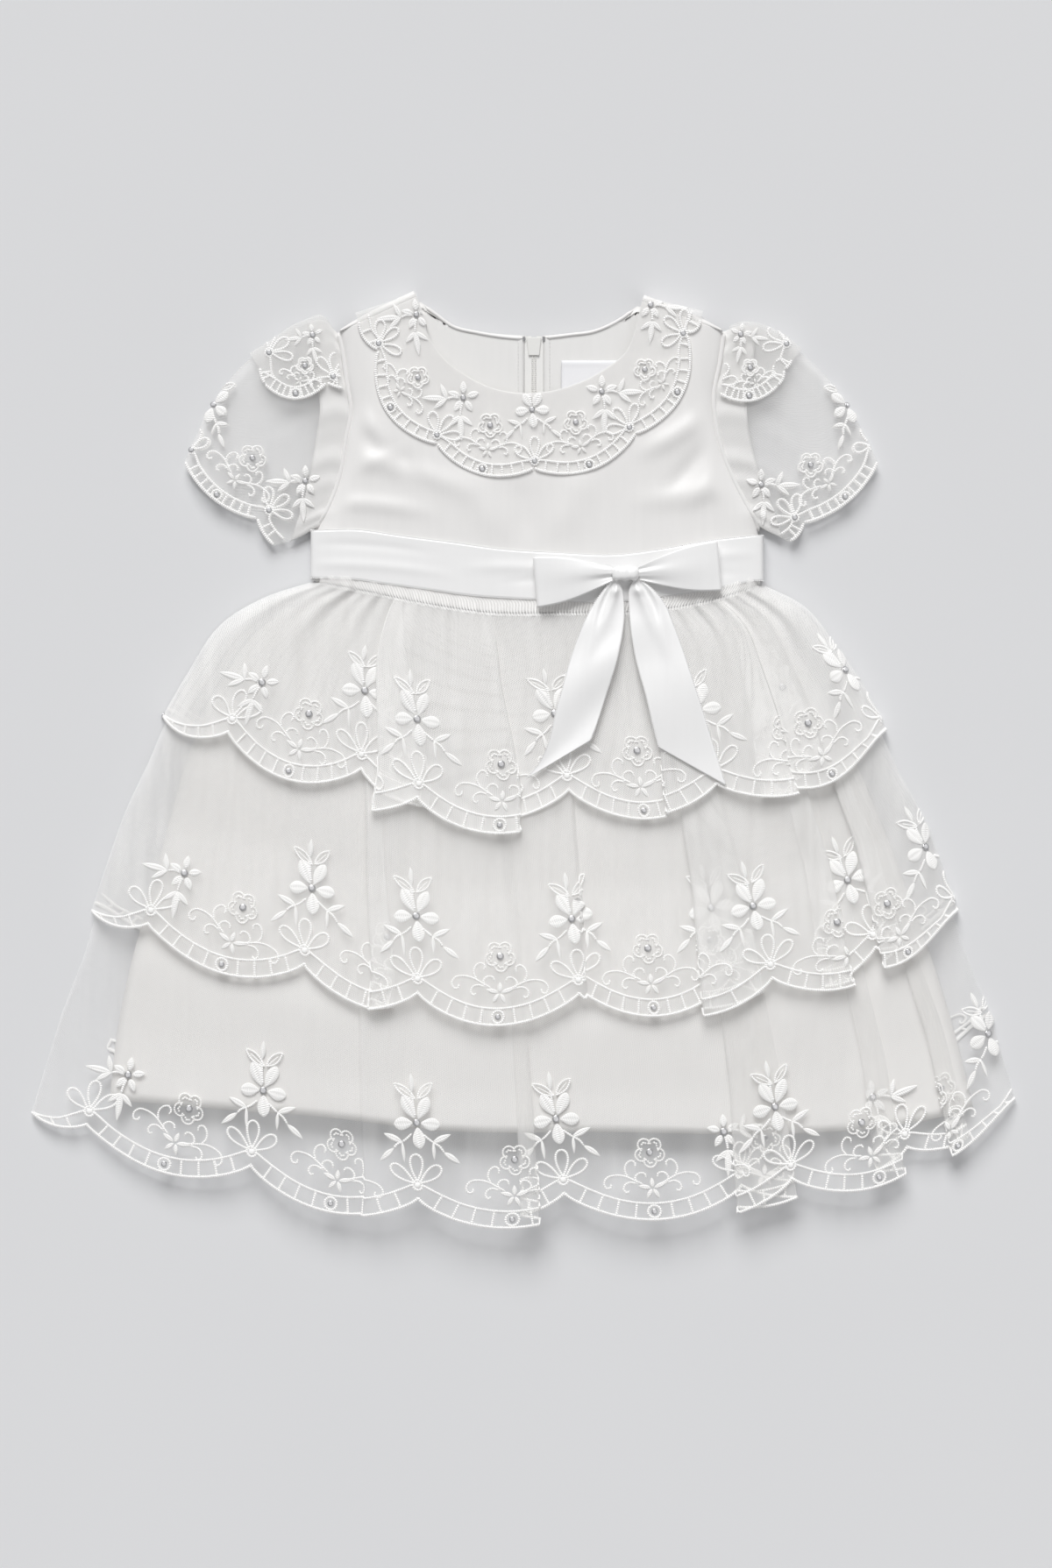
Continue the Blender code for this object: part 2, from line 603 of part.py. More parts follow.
def bodice_front():
    """Satin front: rolled down at both sides and shoulders, and flat round the open neck."""
    u = edged(14, 0.008, 0.025, 0.05)
    v = np.concatenate([np.linspace(0.0, 0.9, 8), [0.95, 0.985, 1.0]])
    top_u = np.interp(u, [0.0, SHOULDER, 1.0 - SHOULDER, 1.0], [-1.0, 0.0, 1.0, 2.0])
    arm = {side: along(SIDE_AND_ARMHOLE[side], v) for side in SIDE_AND_ARMHOLE}
    neck = along(NECK_FRONT, np.clip(top_u, 0.0, 1.0))
    left_fold, right_fold = np.clip(-top_u, 0.0, 1.0)[:, None], np.clip(top_u - 1.0, 0.0, 1.0)[:, None]
    top = neck + left_fold * (arm["right"][-1] - neck[0]) + right_fold * (arm["left"][-1] - neck[-1])
    plan = filled(waist_seam(u), top, arm["right"], arm["left"], u, v)
    width = np.linalg.norm(plan[-1] - plan[0], axis=-1)[None, :]
    side_edge = np.minimum(u, 1.0 - u)[:, None] * width
    top_edge = np.linalg.norm(plan - plan[:, -1:], axis=-1)
    seam = 2.0 * PLY
    side_low = seam + (SLEEVE_HIGH - WALL - seam) * smooth(UNDERARM, UNDERARM + 0.08, v)[None, :]
    on_shoulder = 1.0 - smooth(-0.06, 0.02, np.minimum(top_u, 1.0 - top_u))[:, None]
    top_low = BODICE_TOP + (seam - BODICE_TOP) * on_shoulder
    side_height = side_low + (BODICE_TOP - side_low) * quarter(side_edge / SIDE_TURN)
    top_height = top_low + (BODICE_TOP - top_low) * quarter(top_edge / SHOULDER_TURN)
    return cloth("bodice_front", raised(plan, np.minimum(side_height, top_height)), "satin")


def back_panel(side, name, opening, height, bottom_y, inset, stuff):
    """Half of the back, from the side seam and armhole to the centre-back edge."""
    sign = -1.0 if side == "right" else 1.0
    u, v = np.linspace(0.0, 1.0, 8), np.linspace(0.0, 1.0, 8)
    edge_x = CENTRE + sign * opening
    arm = along(SIDE_AND_ARMHOLE[side], v)
    arm[:, 0] -= sign * inset
    if bottom_y:
        arm = along(arm[arm[:, 1] >= bottom_y - LINING_OVERLAP], v)
        bottom = arm[0] + (np.array([edge_x, bottom_y]) - arm[0]) * u[:, None]
    else:
        x = arm[0, 0] + (edge_x - arm[0, 0]) * u
        bottom = skirt_plan(across_of(x, x * 0.0), x * 0.0) + [0.0, WAIST_GAP]
        arm[0] = bottom[0]
    neck = np.asarray(NECK_BACK)[:: int(-sign)]
    neck = neck[neck[:, 0] * sign > edge_x * sign + 2.0]
    neck_end = [edge_x, NECK_CENTRE]
    neck = np.vstack([neck - [sign * min(inset, 2.0), 0.0], [neck_end]])
    t = np.clip((u - BACK_SHOULDER) / (1.0 - BACK_SHOULDER), 0.0, 1.0)
    fold = np.clip(1.0 - u / BACK_SHOULDER, 0.0, 1.0)[:, None]
    top = along(neck, t) + fold * (arm[-1] - neck[0])
    top[:, 1] -= (BACK_LOWER[0] + BACK_LOWER[1] * inset) * (1.0 - t)
    arm[-1] = top[0]
    centre = np.column_stack([np.full_like(v, edge_x), np.linspace(bottom[-1, 1], top[-1, 1], len(v))])
    plan = filled(bottom, top, arm, centre, u, v)
    return cloth(name, raised(plan, height), stuff, flip=side == "left")


def collar():
    """Collar in one piece: flat over the front, round both shoulder folds and flat under the back."""
    wrap = COLLAR_TOP / 2.0
    t = np.linspace(0.0, 1.0, 50)
    inner, outer = along(NECK_FRONT, 0.015 + 0.97 * t), scalloped(COLLAR_OUTLINE, t)
    rays = [raised(np.stack([inner, outer], axis=1), COLLAR_TOP)]
    for side, first in (("right", True), ("left", False)):
        sign = -1.0 if first else 1.0
        fold_inner, fold_outer = rays[-1 if not first else 0][0 if first else -1][:, :2]
        line = (fold_outer - fold_inner) / np.linalg.norm(fold_outer - fold_inner)
        away = np.array([-line[1], line[0]]) * sign
        out, up = folded_edge(8)
        plan = np.stack([fold_inner, fold_outer])[None] + (wrap * out)[1:-1, None, None] * away
        wrapped = raised(plan, (wrap + wrap * up)[1:-1, None])
        end_x = CENTRE + sign * COLLAR_OPENING
        neck = np.asarray(NECK_BACK) if first else np.asarray(NECK_BACK)[::-1]
        neck = neck[neck[:, 0] * sign > end_x * sign + 3.0][1:]
        neck = np.vstack([[fold_inner], neck, [[end_x, NECK_CENTRE]]])
        s = np.linspace(0.0, 1.0, 9)
        outer = along(np.vstack([[fold_outer], COLLAR_BACK[side][1:]]), s)
        under = np.stack([along(neck, s), outer], axis=1)
        under = raised(under, 0.0)
        extra = np.concatenate([wrapped, under])
        rays = [extra[::-1]] + rays if first else rays + [extra]
    edges = np.concatenate(rays)
    share = np.linspace(0.0, 1.0, 3)[None, :, None]
    return cloth("collar", edges[:, :1] + (edges[:, 1:] - edges[:, :1]) * share, "tulle", flip=True)


# ---------------------------------------------------------------- sleeves
def sleeve(side):
    """Puff sleeve pressed flat: a closed tube, open at the armhole and at the scalloped hem."""
    shape = SLEEVES[side]
    v = np.linspace(0.0, 1.0, 8)
    round_way = np.linspace(0.0, 2.0 * np.pi, 21)[:-1]
    u = (1.0 - np.cos(round_way)) / 2.0
    armhole, hem = along(shape["armhole"], u), scalloped(shape["hem"], u)
    if side == "left":
        hem = scalloped([(x, y, -bulge) for x, y, bulge in shape["hem"]], u)
    plan = filled(armhole, hem, along(shape["top"], v), along(shape["under"], v), u, v)
    middle, half = (SLEEVE_HIGH + SLEEVE_LOW) / 2.0, (SLEEVE_HIGH - SLEEVE_LOW) / 2.0
    height = middle + half * np.sign(np.sin(round_way)) * np.abs(np.sin(round_way)) ** 0.6
    return cloth(f"sleeve_{side}", raised(plan, height[:, None]), "tulle", ring=True, flip=side == "right")


def sleeve_cap(side):
    """Short overlay at the top of the sleeve, wrapped over its upper fold."""
    shape = SLEEVES[side]
    v = np.linspace(0.0, 1.0, 11)
    sign = -1.0 if side == "right" else 1.0
    bulged = [(x, y, sign * bulge) for x, y, bulge in shape["cap_hem"]]
    crest, hem = along(shape["cap_top"], v), scalloped(bulged, v)
    radius = CAP_TOP / 2.0
    across = crest - hem
    across = across / np.linalg.norm(across, axis=1)[:, None]
    axis = crest - across * radius
    out, up = folded_edge(8)
    bend = raised(axis[None] + across[None] * (radius * out)[:, None, None], (radius + radius * up)[:, None])
    flat = np.linspace(0.0, 1.0, 3)[:-1, None, None]
    front = raised(hem[None] + (axis - hem)[None] * flat, CAP_TOP)
    under = front[::-1].copy()
    under[..., 2] = 0.0
    return cloth(f"sleeve_cap_{side}", np.concatenate([front, bend, under]), "tulle", flip=side == "left")


# ---------------------------------------------------------------- sash and bow
def sash():
    """Ribbon round the waist: across the front, round both sides and under the back to the zip."""
    t = np.linspace(0.0, 1.0, 26)
    wrap = SASH_TOP / 2.0
    lower, upper = along(SASH_LOWER, t), along(SASH_UPPER, t)
    span = (lower[-1, 0] - lower[0, 0] - 2.0 * wrap) / (lower[-1, 0] - lower[0, 0])
    middle = (lower[0, 0] + lower[-1, 0]) / 2.0
    for edge in (lower, upper):
        edge[:, 0] = middle + (edge[:, 0] - middle) * span
    front = raised(np.stack([lower, upper], axis=1), SASH_TOP)
    pieces = [front]
    for sign in (-1.0, 1.0):
        last = front[0 if sign < 0 else -1]
        out, up = folded_edge(8)
        bend = np.stack([last + [sign * wrap * o, 0.0, wrap * rise - wrap] for o, rise in zip(out, up)])[1:]
        x = np.linspace(last[0, 0], CENTRE + sign * COLLAR_OPENING, 7)[1:]
        sag = 9.0 * (1.0 - ((x - CENTRE) / (last[0, 0] - CENTRE)) ** 2)
        under = np.stack([np.column_stack([x, last[i, 1] - sag, x * 0.0]) for i in (0, 1)], axis=1)
        extra = np.concatenate([bend, under])
        pieces = [extra[::-1]] + pieces if sign < 0 else pieces + [extra]
    edges = np.concatenate(pieces)
    share = np.linspace(0.0, 1.0, 3)[None, :, None]
    return cloth("sash", edges[:, :1] + (edges[:, 1:] - edges[:, :1]) * share, "ribbon")


def bow_loop(side):
    """One loop of the bow: ribbon out along the bottom, round the far end and back along the top."""
    (near_x, near_y, half), upper, lower = LOOPS[side]
    near = np.array([[near_x, near_y - half], [near_x, near_y + half]])
    far = np.array([lower, upper], float)
    out = np.array([0.0, 0.3, 0.62, 0.88, 0.97])
    across = np.linspace(0.0, 1.0, 4)
    radius = LOOP_RISE / 2.0
    turn = np.linspace(-0.5, 0.5, 7)[1:-1] * np.pi
    way = np.concatenate([out, 0.97 + 0.03 * np.cos(turn), out[::-1]])
    rise = np.concatenate([np.full(len(out), -1.0), np.sin(turn), np.full(len(out), 1.0)])
    edges = near[None] + (far - near)[None] * way[:, None, None]
    plan = edges[:, :1] + (edges[:, 1:] - edges[:, :1]) * across[None, :, None]
    height = BOW_FLOOR + radius + radius * rise
    return cloth(f"bow_loop_{side}", raised(plan, height[:, None]), "ribbon", flip=side == "left")


def bow_knot():
    """The short wrap that holds the bow together: a cushion-shaped roll."""
    mesh = bpy.data.meshes.new("bow_knot")
    shape = bmesh.new()
    bmesh.ops.create_uvsphere(shape, u_segments=14, v_segments=9, radius=1.0)
    for corner in shape.verts:
        squarer = [math.copysign(abs(c) ** 0.7, c) for c in corner.co]
        corner.co = [c * size / 2.0 * MM for c, size in zip(squarer, KNOT_SIZE)]
    shape.to_mesh(mesh)
    shape.free()
    mesh.shade_smooth()
    return placed("bow_knot", mesh, (*KNOT, BOW_FLOOR + KNOT_SIZE[2] / 2.0), "ribbon", False)


def bow_tail(side):
    """Hanging end of the bow's ribbon, lying on the skirt and cut on the slant."""
    one, other = TAILS[side]
    t = np.linspace(0.0, 1.0, 10)
    edges = np.stack([along(one, t), along(other, t)], axis=1)
    plan = edges[:, :1] + (edges[:, 1:] - edges[:, :1]) * np.linspace(0.0, 1.0, 3)[None, :, None]
    height = spline(np.asarray(TAIL_HEIGHT)[::-1], plan[..., 1])
    return cloth(f"bow_tail_{side}", raised(plan, height), "ribbon")


# ---------------------------------------------------------------- zip and label
def centred_box(name, half, bottom, top, low, high, stuff, helper=False):
    """Box astride the centre-back line: half its width, its two ends along y and its two heights."""
    return box(name, (CENTRE - half, bottom, low), (CENTRE + half, top, high), stuff, helper)


def zip_tape():
    """Tape of the closed zip, notched at the top for the slider's post, and its two top stops."""
    half, bottom, top = ZIP_TAPE
    tape = centred_box("zip_tape", half, bottom, top, 2.0 * PLY + 0.1, 3.0 * PLY - GAP, "zip")
    notch_half, notch_bottom = TAPE_NOTCH
    notch = centred_box("zip_notch", notch_half, notch_bottom, top + 5.0, 0.0, 9.0, "zip", helper=True)
    boolean(tape, notch, "DIFFERENCE")
    (width, bottom, top, thick), low = STOP, 3.0 * PLY
    for side, x in (("right", CENTRE - STOP_X), ("left", CENTRE + STOP_X)):
        box(f"zip_stop_{side}", (x - width / 2, bottom, low), (x + width / 2, top, low + thick), "metal")


def zip_slider():
    """Slider: an inner and an outer plate on one post, with two lugs that hold the pull tab's pin."""
    half, bottom, top = SLIDER
    low = 3.0 * PLY
    slider = centred_box("zip_slider", half, bottom, top, low, low + PLATE, "zip")
    for corner in slider.data.vertices:
        if corner.co.y < 0.0:
            corner.co.x *= SLIDER_TAPER
    edge = slider.modifiers.new("edge", "BEVEL")
    edge.width = 0.2 * MM
    edge.segments = 1
    half, bottom, top = OUTER_PLATE
    outer = PIN_Z + EYE_OUTER + 0.2
    into = outer + 0.2
    post_half, post_bottom, post_top = SLIDER_POST
    parts = [
        centred_box("slider_plate", half, bottom, top, outer, outer + PLATE - 0.2, "zip", helper=True),
        centred_box("slider_post", post_half, post_bottom, post_top, into, low + 0.3, "zip", helper=True),
        rod("slider_pin", (CENTRE, PIN_Y, PIN_Z), PIN_RADIUS, 2.0 * LUG_X + 0.4, "zip", helper=True),
    ]
    for x in (CENTRE - LUG_X, CENTRE + LUG_X):
        low_corner = (x - LUG / 2, PIN_Y - LUG, PIN_Z - LUG * 0.7)
        high_corner = (x + LUG / 2, PIN_Y + LUG, into)
        parts.append(box(f"slider_lug_{x:.0f}", low_corner, high_corner, "zip", helper=True))
    for part in parts:
        boolean(slider, part, "UNION")


def zip_pull():
    """Pull tab: an eye round the slider's pin and a flat tab towards the hem. Its origin is on the pin."""
    half, length, thick = TAB
    low, high = PIN_Z - thick / 2, PIN_Z + thick / 2
    tab = rod("zip_pull", (CENTRE, PIN_Y, PIN_Z), EYE_OUTER, 2.0 * EYE_HALF_WIDTH + 0.2, "metal")
    neck = centred_box("pull_neck", EYE_HALF_WIDTH, PIN_Y - 4.0, PIN_Y, low, high, "metal", helper=True)
    grip = centred_box("pull_grip", half, PIN_Y - length, PIN_Y - 3.0, low, high, "metal", helper=True)
    bore = rod("pull_bore", (CENTRE, PIN_Y, PIN_Z), EYE_INNER, 8.0, "metal", helper=True)
    boolean(tab, neck, "UNION")
    boolean(tab, grip, "UNION")
    boolean(tab, bore, "DIFFERENCE")


def label():
    """Blank label sewn to the neck lining."""
    left, right, bottom, top = LABEL
    low = 4.0 * PLY
    box("neck_label", (left, bottom, low), (right, top, low + LABEL_THICKNESS), "label")


GOWN = "christening_gown"
TOOLS = "boolean_helpers"


def main():
    clear_scene()
    collection(GOWN)
    collection(TOOLS)
    bodice_front()
    for side in ("right", "left"):
        back, lining = f"bodice_back_{side}", f"neck_lining_{side}"
        back_panel(side, back, BACK_OPENING, 2.0 * PLY - GAP, None, BACK_INSET, "satin")
        back_panel(side, lining, LINING_OPENING, 4.0 * PLY - GAP, LINING_BOTTOM, LINING_BACK_INSET, "lining")
    collar()
    for side in ("left", "right"):
        sleeve(side)
        sleeve_cap(side)
        bow_loop(side)
        bow_tail(side)
    bow_knot()
    sash()
    skirt_lining(True)
    skirt_lining(False)
    for tier, spacing in FRONT_SPACING.items():
        tier_front(tier, spacing)
    for tier in TIERS:
        tier_back(tier)
    zip_tape()
    zip_slider()
    zip_pull()
    label()


main()
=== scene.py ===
"""Looks of the christening gown: net, satin, ribbon, embroidery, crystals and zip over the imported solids.

Sizes are millimetres in the frame's own axes: +X to the wearer's left, +Y from hem to neck, +Z up from the
table. Every cloth piece is a function of two parameters on a grid, and embroidery is worked out on the flat
cloth and then carried onto it. Pieces named right or left are the wearer's, but the columns of a table that
say left are the ones at lower x, which is the wearer's right.
"""

import math

import bpy
import numpy as np
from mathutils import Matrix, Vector
from mathutils.bvhtree import BVHTree


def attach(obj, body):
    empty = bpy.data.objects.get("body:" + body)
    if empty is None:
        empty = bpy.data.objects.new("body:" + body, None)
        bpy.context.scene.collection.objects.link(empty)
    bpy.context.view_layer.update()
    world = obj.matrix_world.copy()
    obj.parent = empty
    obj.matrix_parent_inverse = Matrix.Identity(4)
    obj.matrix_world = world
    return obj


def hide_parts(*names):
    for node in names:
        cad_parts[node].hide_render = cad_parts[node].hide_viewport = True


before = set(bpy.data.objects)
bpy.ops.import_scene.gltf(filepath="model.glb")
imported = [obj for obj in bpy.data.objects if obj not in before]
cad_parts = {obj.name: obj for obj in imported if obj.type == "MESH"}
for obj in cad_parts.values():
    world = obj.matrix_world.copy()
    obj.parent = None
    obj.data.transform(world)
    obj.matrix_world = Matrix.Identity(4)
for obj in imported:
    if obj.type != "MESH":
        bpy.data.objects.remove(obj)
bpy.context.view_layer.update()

MM = 0.001
WALL = 1.0  # thickness of the solids' cloth
GAP = 0.3  # between solids that lie on each other
PLY = WALL + GAP
CENTRE = 5.5  # x of the centre-back line
SIGN = {"right": -1.0, "left": 1.0}  # the way each of the wearer's sides lies along x
GOWN = "gown"

# ---- skirt sizes
SKIRT_SIDES = (
    # down (0 at the waist, 1 at the lowest scallop line), left x, left y, right x, right y
    (0, -116.4, 96.7, 130.8, 95.3),
    (0.085, -143.6, 87.5, 154.3, 82.8),
    (0.170, -167.4, 72, 171.3, 61.7),
    (0.250, -182.6, 49.1, 185.8, 40.5),
    (0.335, -197.1, 23.8, 198, 16.1),
    (0.500, -218.1, -28.9, 219.2, -32.6),
    (0.665, -236.3, -82.7, 237.2, -82.5),
    (0.830, -252.3, -137.2, 253.2, -133.1),
    (1, -269.3, -193.2, 268.6, -185.5),
    (1.100, -279, -226, 277.5, -217),
)
# down, sag of a row's middle
ROW_SAG = ((0.0, 17.0), (0.335, 36.0), (0.665, 43.0), (1.0, 48.5), (1.1, 49.5))
SAG_ACROSS = (
    # across (-1 left, 1 right), share of the sag
    (-1, 0),
    (-0.86, 0.17),
    (-0.50, 0.68),
    (-0.22, 0.97),
    (0.10, 0.97),
    (0.55, 0.84),
    (0.80, 0.48),
    (1, 0),
)
SKIRT_LENGTH = 330.0
SCALLOP_DEPTH = 16.0
REPEAT = 93.0  # width of one scallop of the skirt's net
FOLD_RISE = 2.4
FOLD_RUN = 1.3  # width of the step beside a fold
FOLD_TURN = 0.012  # cloth in that step, in scallops
TURNED_LIFT = 0.35  # height of the cloth turned back under a fold, as a share of the fold's own
HIDDEN_UP = 3.0  # how far the hem of that cloth stays back
WAIST_TUCK = 0.15  # width of that cloth at the waist over its width at the hem
NET_DEPTH = 0.3  # from a solid's outer face down to the net itself
BACK_NET_DEPTH = 0.35
SATIN_DEPTH = 0.2  # the same for satin and ribbon
NET_COLUMN, NET_ROW = 2.6, 4.2  # cells of a front's mesh
BACK_COLUMNS, BACK_ROW = 16, 8.0  # of a back's: columns in a scallop, length of a row
BACK_SPREAD = 0.8  # length on the laid back for one of flat cloth
LINING_HEM_WIDTH = 14.0
TIERS = {"top": 0.335, "middle": 0.665, "bottom": 1.0}
TIER_PANELS = {
    "top": (
        # left x, right x, left x at the waist, first phase, last phase, raised, hem drop
        (-197.1, -79, -116.4, 0.50, 2.13, 0, 0),
        (-79, -1.7, -70, 2.75, 3.62, 1, 8.5),
        (-1.7, 75.6, -18, 3.67, 4.65, 0, 1),
        (75.6, 145, 62, 4.69, 5.43, 1, 0),
        (145, 198, 106, 6.22, 7, 1, 1),
    ),
    "middle": (
        (-236.3, -82.8, -116.4, 0.63, 2.43, 0, 0),
        (-82.8, 33.8, -70, 2.71, 4.05, 1, 3),
        (33.8, 95.8, 22, 4.05, 4.83, 0, 0),
        (95.8, 176.4, 66, 5.55, 6.48, 1, 1),
        (176.4, 193.2, 110, 6.83, 7.02, 0, 0),
        (193.2, 237.2, 118, 7.28, 8, 1, 1),
    ),
    "bottom": (
        (-269.3, -86.2, -116.4, 0.66, 2.70, 0, 0),
        (-86.2, 8.4, -70, 2.72, 3.64, 1, 1.5),
        (8.4, 115, -8, 3.86, 4.96, 0, 0),
        (115, 205.2, 72, 5.66, 6.65, 1, 0),
        (205.2, 230.6, 112, 6.96, 7.22, 0, 0),
        (230.6, 268.6, 119, 7.45, 7.95, 1, 2),
    ),
}
BACK_SCALLOPS = {"top": 5, "middle": 6, "bottom": 7}
BACK_ENDS = {tier: end - 0.012 for tier, end in TIERS.items()} | {"bottom": 0.85}
TUCKED = 36.0  # end of the lowest back's border that is folded away beside the lining
LEAN = 0.035  # how far the sprays lean towards the middle, for each millimetre away from it
STAR_SPRAYS = {"top": (1,), "middle": (1,), "bottom": (1, 5, 7)}  # cusps with the small star flower
# stretches down the skirt: where the cloth beneath sinks past a tier's hem, and where a tier's folds begin
SINKS = {"top": (0.41, 0.50), "middle": (0.735, 0.835)}
FOLD_STARTS = {"top": (0.0, 0.10), "middle": (0.10, 0.26), "bottom": (0.50, 0.62)}
SIDE_ROLL = 14.0  # width over which a front rolls down at its side
PLY_INSET = 3.0  # how much narrower each tier is than the one outside it
LOFT = 11.0  # how far the front stands up in the middle of the hem
# down, share of the loft
LOFT_ROWS = ((0.0, 0.0), (0.17, 0.04), (0.335, 0.22), (0.5, 0.48), (0.735, 0.86), (1.1, 1.0))
GATHERS = (
    # tier, gathers across the waist, height, way down that they run
    ("top", 21, 1.1, 0.26),
    ("top", 37, 0.9, 0.20),
    ("top", 13, 0.9, 0.36),
    ("middle", 31, 0.35, 0.30),
    ("bottom", 27, 0.30, 0.30),
)
LONG_FOLDS = (
    # tier, phase at the hem, half width in scallops, height, way down where it starts and ends
    ("top", 1.05, 0.10, 1.4, 0.02, 0.36),
    ("top", 1.62, 0.07, 1, 0, 0.30),
    ("top", 2.98, 0.09, 1.3, 0, 0.36),
    ("top", 3.30, 0.06, -0.9, 0, 0.34),
    ("top", 3.52, 0.06, 1, 0.02, 0.30),
    ("top", 3.95, 0.08, 1.2, 0, 0.36),
    ("top", 5.15, 0.08, 1.1, 0.03, 0.30),
    ("top", 6.45, 0.08, 1, 0, 0.36),
    ("middle", 0.92, 0.08, 1, 0.22, 0.64),
    ("middle", 1.35, 0.12, -0.9, 0.30, 0.60),
    ("middle", 2.20, 0.10, 1, 0.25, 0.64),
    ("middle", 2.95, 0.06, 1, 0.28, 0.69),
    ("middle", 3.25, 0.07, -0.8, 0.28, 0.69),
    ("middle", 3.70, 0.07, 1, 0.25, 0.66),
    ("middle", 4.45, 0.08, 0.9, 0.28, 0.69),
    ("middle", 5.75, 0.08, 1, 0.28, 0.66),
    ("middle", 6.20, 0.08, -0.8, 0.30, 0.66),
    ("bottom", 0.90, 0.06, 1.1, 0.45, 0.95),
    ("bottom", 1.60, 0.16, -0.9, 0.55, 0.98),
    ("bottom", 2.30, 0.10, 1, 0.50, 0.95),
    ("bottom", 2.95, 0.08, 0.9, 0.45, 0.98),
    ("bottom", 3.35, 0.08, -0.9, 0.50, 0.95),
    ("bottom", 4.30, 0.06, 1.2, 0.50, 0.97),
    ("bottom", 4.75, 0.10, 1, 0.45, 0.94),
    ("bottom", 6.05, 0.14, -0.8, 0.55, 0.97),
    ("bottom", 6.40, 0.07, 1, 0.50, 0.97),
)
LINING_INSET = (
    # down, left inset, right inset
    (0, 19, 19),
    (0.40, 22, 21),
    (0.60, 27, 21),
    (0.85, 32, 20),
    (1, 42, 22),
)
LINING_HEM = ((-1.0, 0.955), (-0.4, 0.895), (0.0, 0.900), (0.45, 0.915), (1.0, 0.985))  # across, down

# ---- bodice, collar, sleeves
BODICE_TOP = 9.0
WAIST_GAP = 0.6
SIDE_AND_ARMHOLE = {
    "right": (
        (-114.6, 97.2), (-112.4, 125.5), (-107.5, 133.9), (-100.7, 150), (-96, 174.3),
        (-93.4, 191.8), (-95.3, 203.9), (-98.7, 226.8), (-100.2, 233),
    ),
    "left": (
        (129, 95.8), (126.4, 128), (119.6, 140.6), (112.8, 154.1), (107.4, 167.6),
        (103.4, 186.5), (102.7, 198.5), (106.1, 217.4), (108.2, 233.2),
    ),
}
BAND_BELOW, BAND_ABOVE = 2.2, 9.0  # how far the skirt's heading reaches from the waist seam
BAND_PLEAT, BAND_WAVES = 0.16, 260.0  # height of its gathers, and their angle across the waist
UNDERARM = 0.2  # share of the side and armhole that is side
UNDERARM_STEP = 0.08  # beyond it, where the bodice's edge comes up to the sleeve
CREASE_SIDE, CREASE_TOP = (2.0, 14.0), (0.0, 6.0)  # ways in from the edges over which creases begin
SHOULDER = 0.16  # share of the bodice's top edge that each shoulder fold takes
BACK_SHOULDER = 0.4
SIDE_TURN, SHOULDER_TURN = 12.0, 9.0  # width over which the bodice rolls down
ARM_SEAM, ARM_SEAM_OUT = 1.35, 1.1  # radius of the armhole seam, and how far out it lies
NECK_EDGE, NECK_EDGE_DOWN, NECK_EDGE_HEIGHT = 1.0, 1.4, 4.2
BODICE_CREASES = (
    # from x, y, to x, y, half width, height
    (-95, 196, -70, 160, 5, 1.97),
    (-96, 182, -52, 150, 5.5, -1.30),
    (-98, 166, -30, 146, 6, 1.39),
    (-106, 150, -62, 170, 4, 0.60),
    (-108, 140, -50, 134, 4.5, 1.04),
    (102, 190, 64, 166, 5, 1.86),
    (106, 180, 78, 146, 4.5, -1.62),
    (112, 168, 88, 136, 5, 1.20),
    (116, 150, 60, 140, 6, 1.04),
    (-36, 156, -10, 118, 9, 0.93),
    (34, 158, 16, 118, 9, 0.93),
    (-4, 152, 2, 116, 7, -0.70),
)
NECK_FRONT = (
    (-58.6, 251.9), (-55.6, 245), (-52.2, 230.9), (-44.2, 218.7), (-32, 209.3), (-18.6, 202.6),
    (5.5, 199.4), (32, 205.9), (45.5, 213.4), (56.3, 222.8), (60.3, 232.2), (63, 243),
    (64.4, 249.6),
)
NECK_BACK = (
    (-58.6, 251.9), (-48.2, 244.3), (-38.8, 237.6), (-25.3, 234.2), (5.5, 231.1), (25.2, 233),
    (38.7, 235), (48.2, 238.9), (64.4, 249.6),
)
NECK_CENTRE = 231.3  # y of the back neck at the zip
LINING_BOTTOM = 150.0
BACK_OPENING = 4.5
LINING_OPENING = 5.0
BACK_PANELS = (
    # solid, gap beside the centre-back line, height, lowest y, inset at the side, finish
    ("bodice_back", BACK_OPENING, 2.3, None, 1.8, "satin"),
    ("neck_lining", LINING_OPENING, 4.5, LINING_BOTTOM, 14, "neck_lining"),
)
COLLAR_TOP = BODICE_TOP + PLY
COLLAR_OUTLINE = (
    # cusp x, cusp y, bulge of the scallop that starts here
    (-90.5, 238.5, 3),
    (-79.9, 222.5, 14),
    (-47.5, 171.6, 10.5),
    (5.5, 157.9, 11),
    (61, 176.9, 13.2),
    (89.2, 231.6, 2.6),
    (96.8, 239.5, 0),
)
COLLAR_BACK = {
    "right": ((-90.5, 238.5), (-84, 214), (-62, 194), (-30, 187), (-0.8, 186)),
    "left": ((96.8, 239.5), (90, 214), (70, 194), (40, 187), (11.8, 186)),
}
COLLAR_OPENING = 6.3
COLLAR_FOLDS = (
    (-70, 212, -36, 178, 6, 0.7),
    (-40, 196, -14, 168, 5, -0.5),
    (44, 200, 30, 166, 6, 0.6),
    (78, 214, 52, 186, 6, 0.6),
    (8, 192, 6, 162, 6, 0.5),
)
FACING = 16.0  # width of the satin strip inside the armhole
SLEEVE_GATHERS = ((17, 0.45, 0.0), (26, 0.35, 1.3), (9, 0.4, 0.6))  # round the sleeve, height, turned by
SLEEVE_LOW, SLEEVE_HIGH = 1.3, 6.9
SLEEVE_MIDDLE = (SLEEVE_HIGH + SLEEVE_LOW) / 2.0
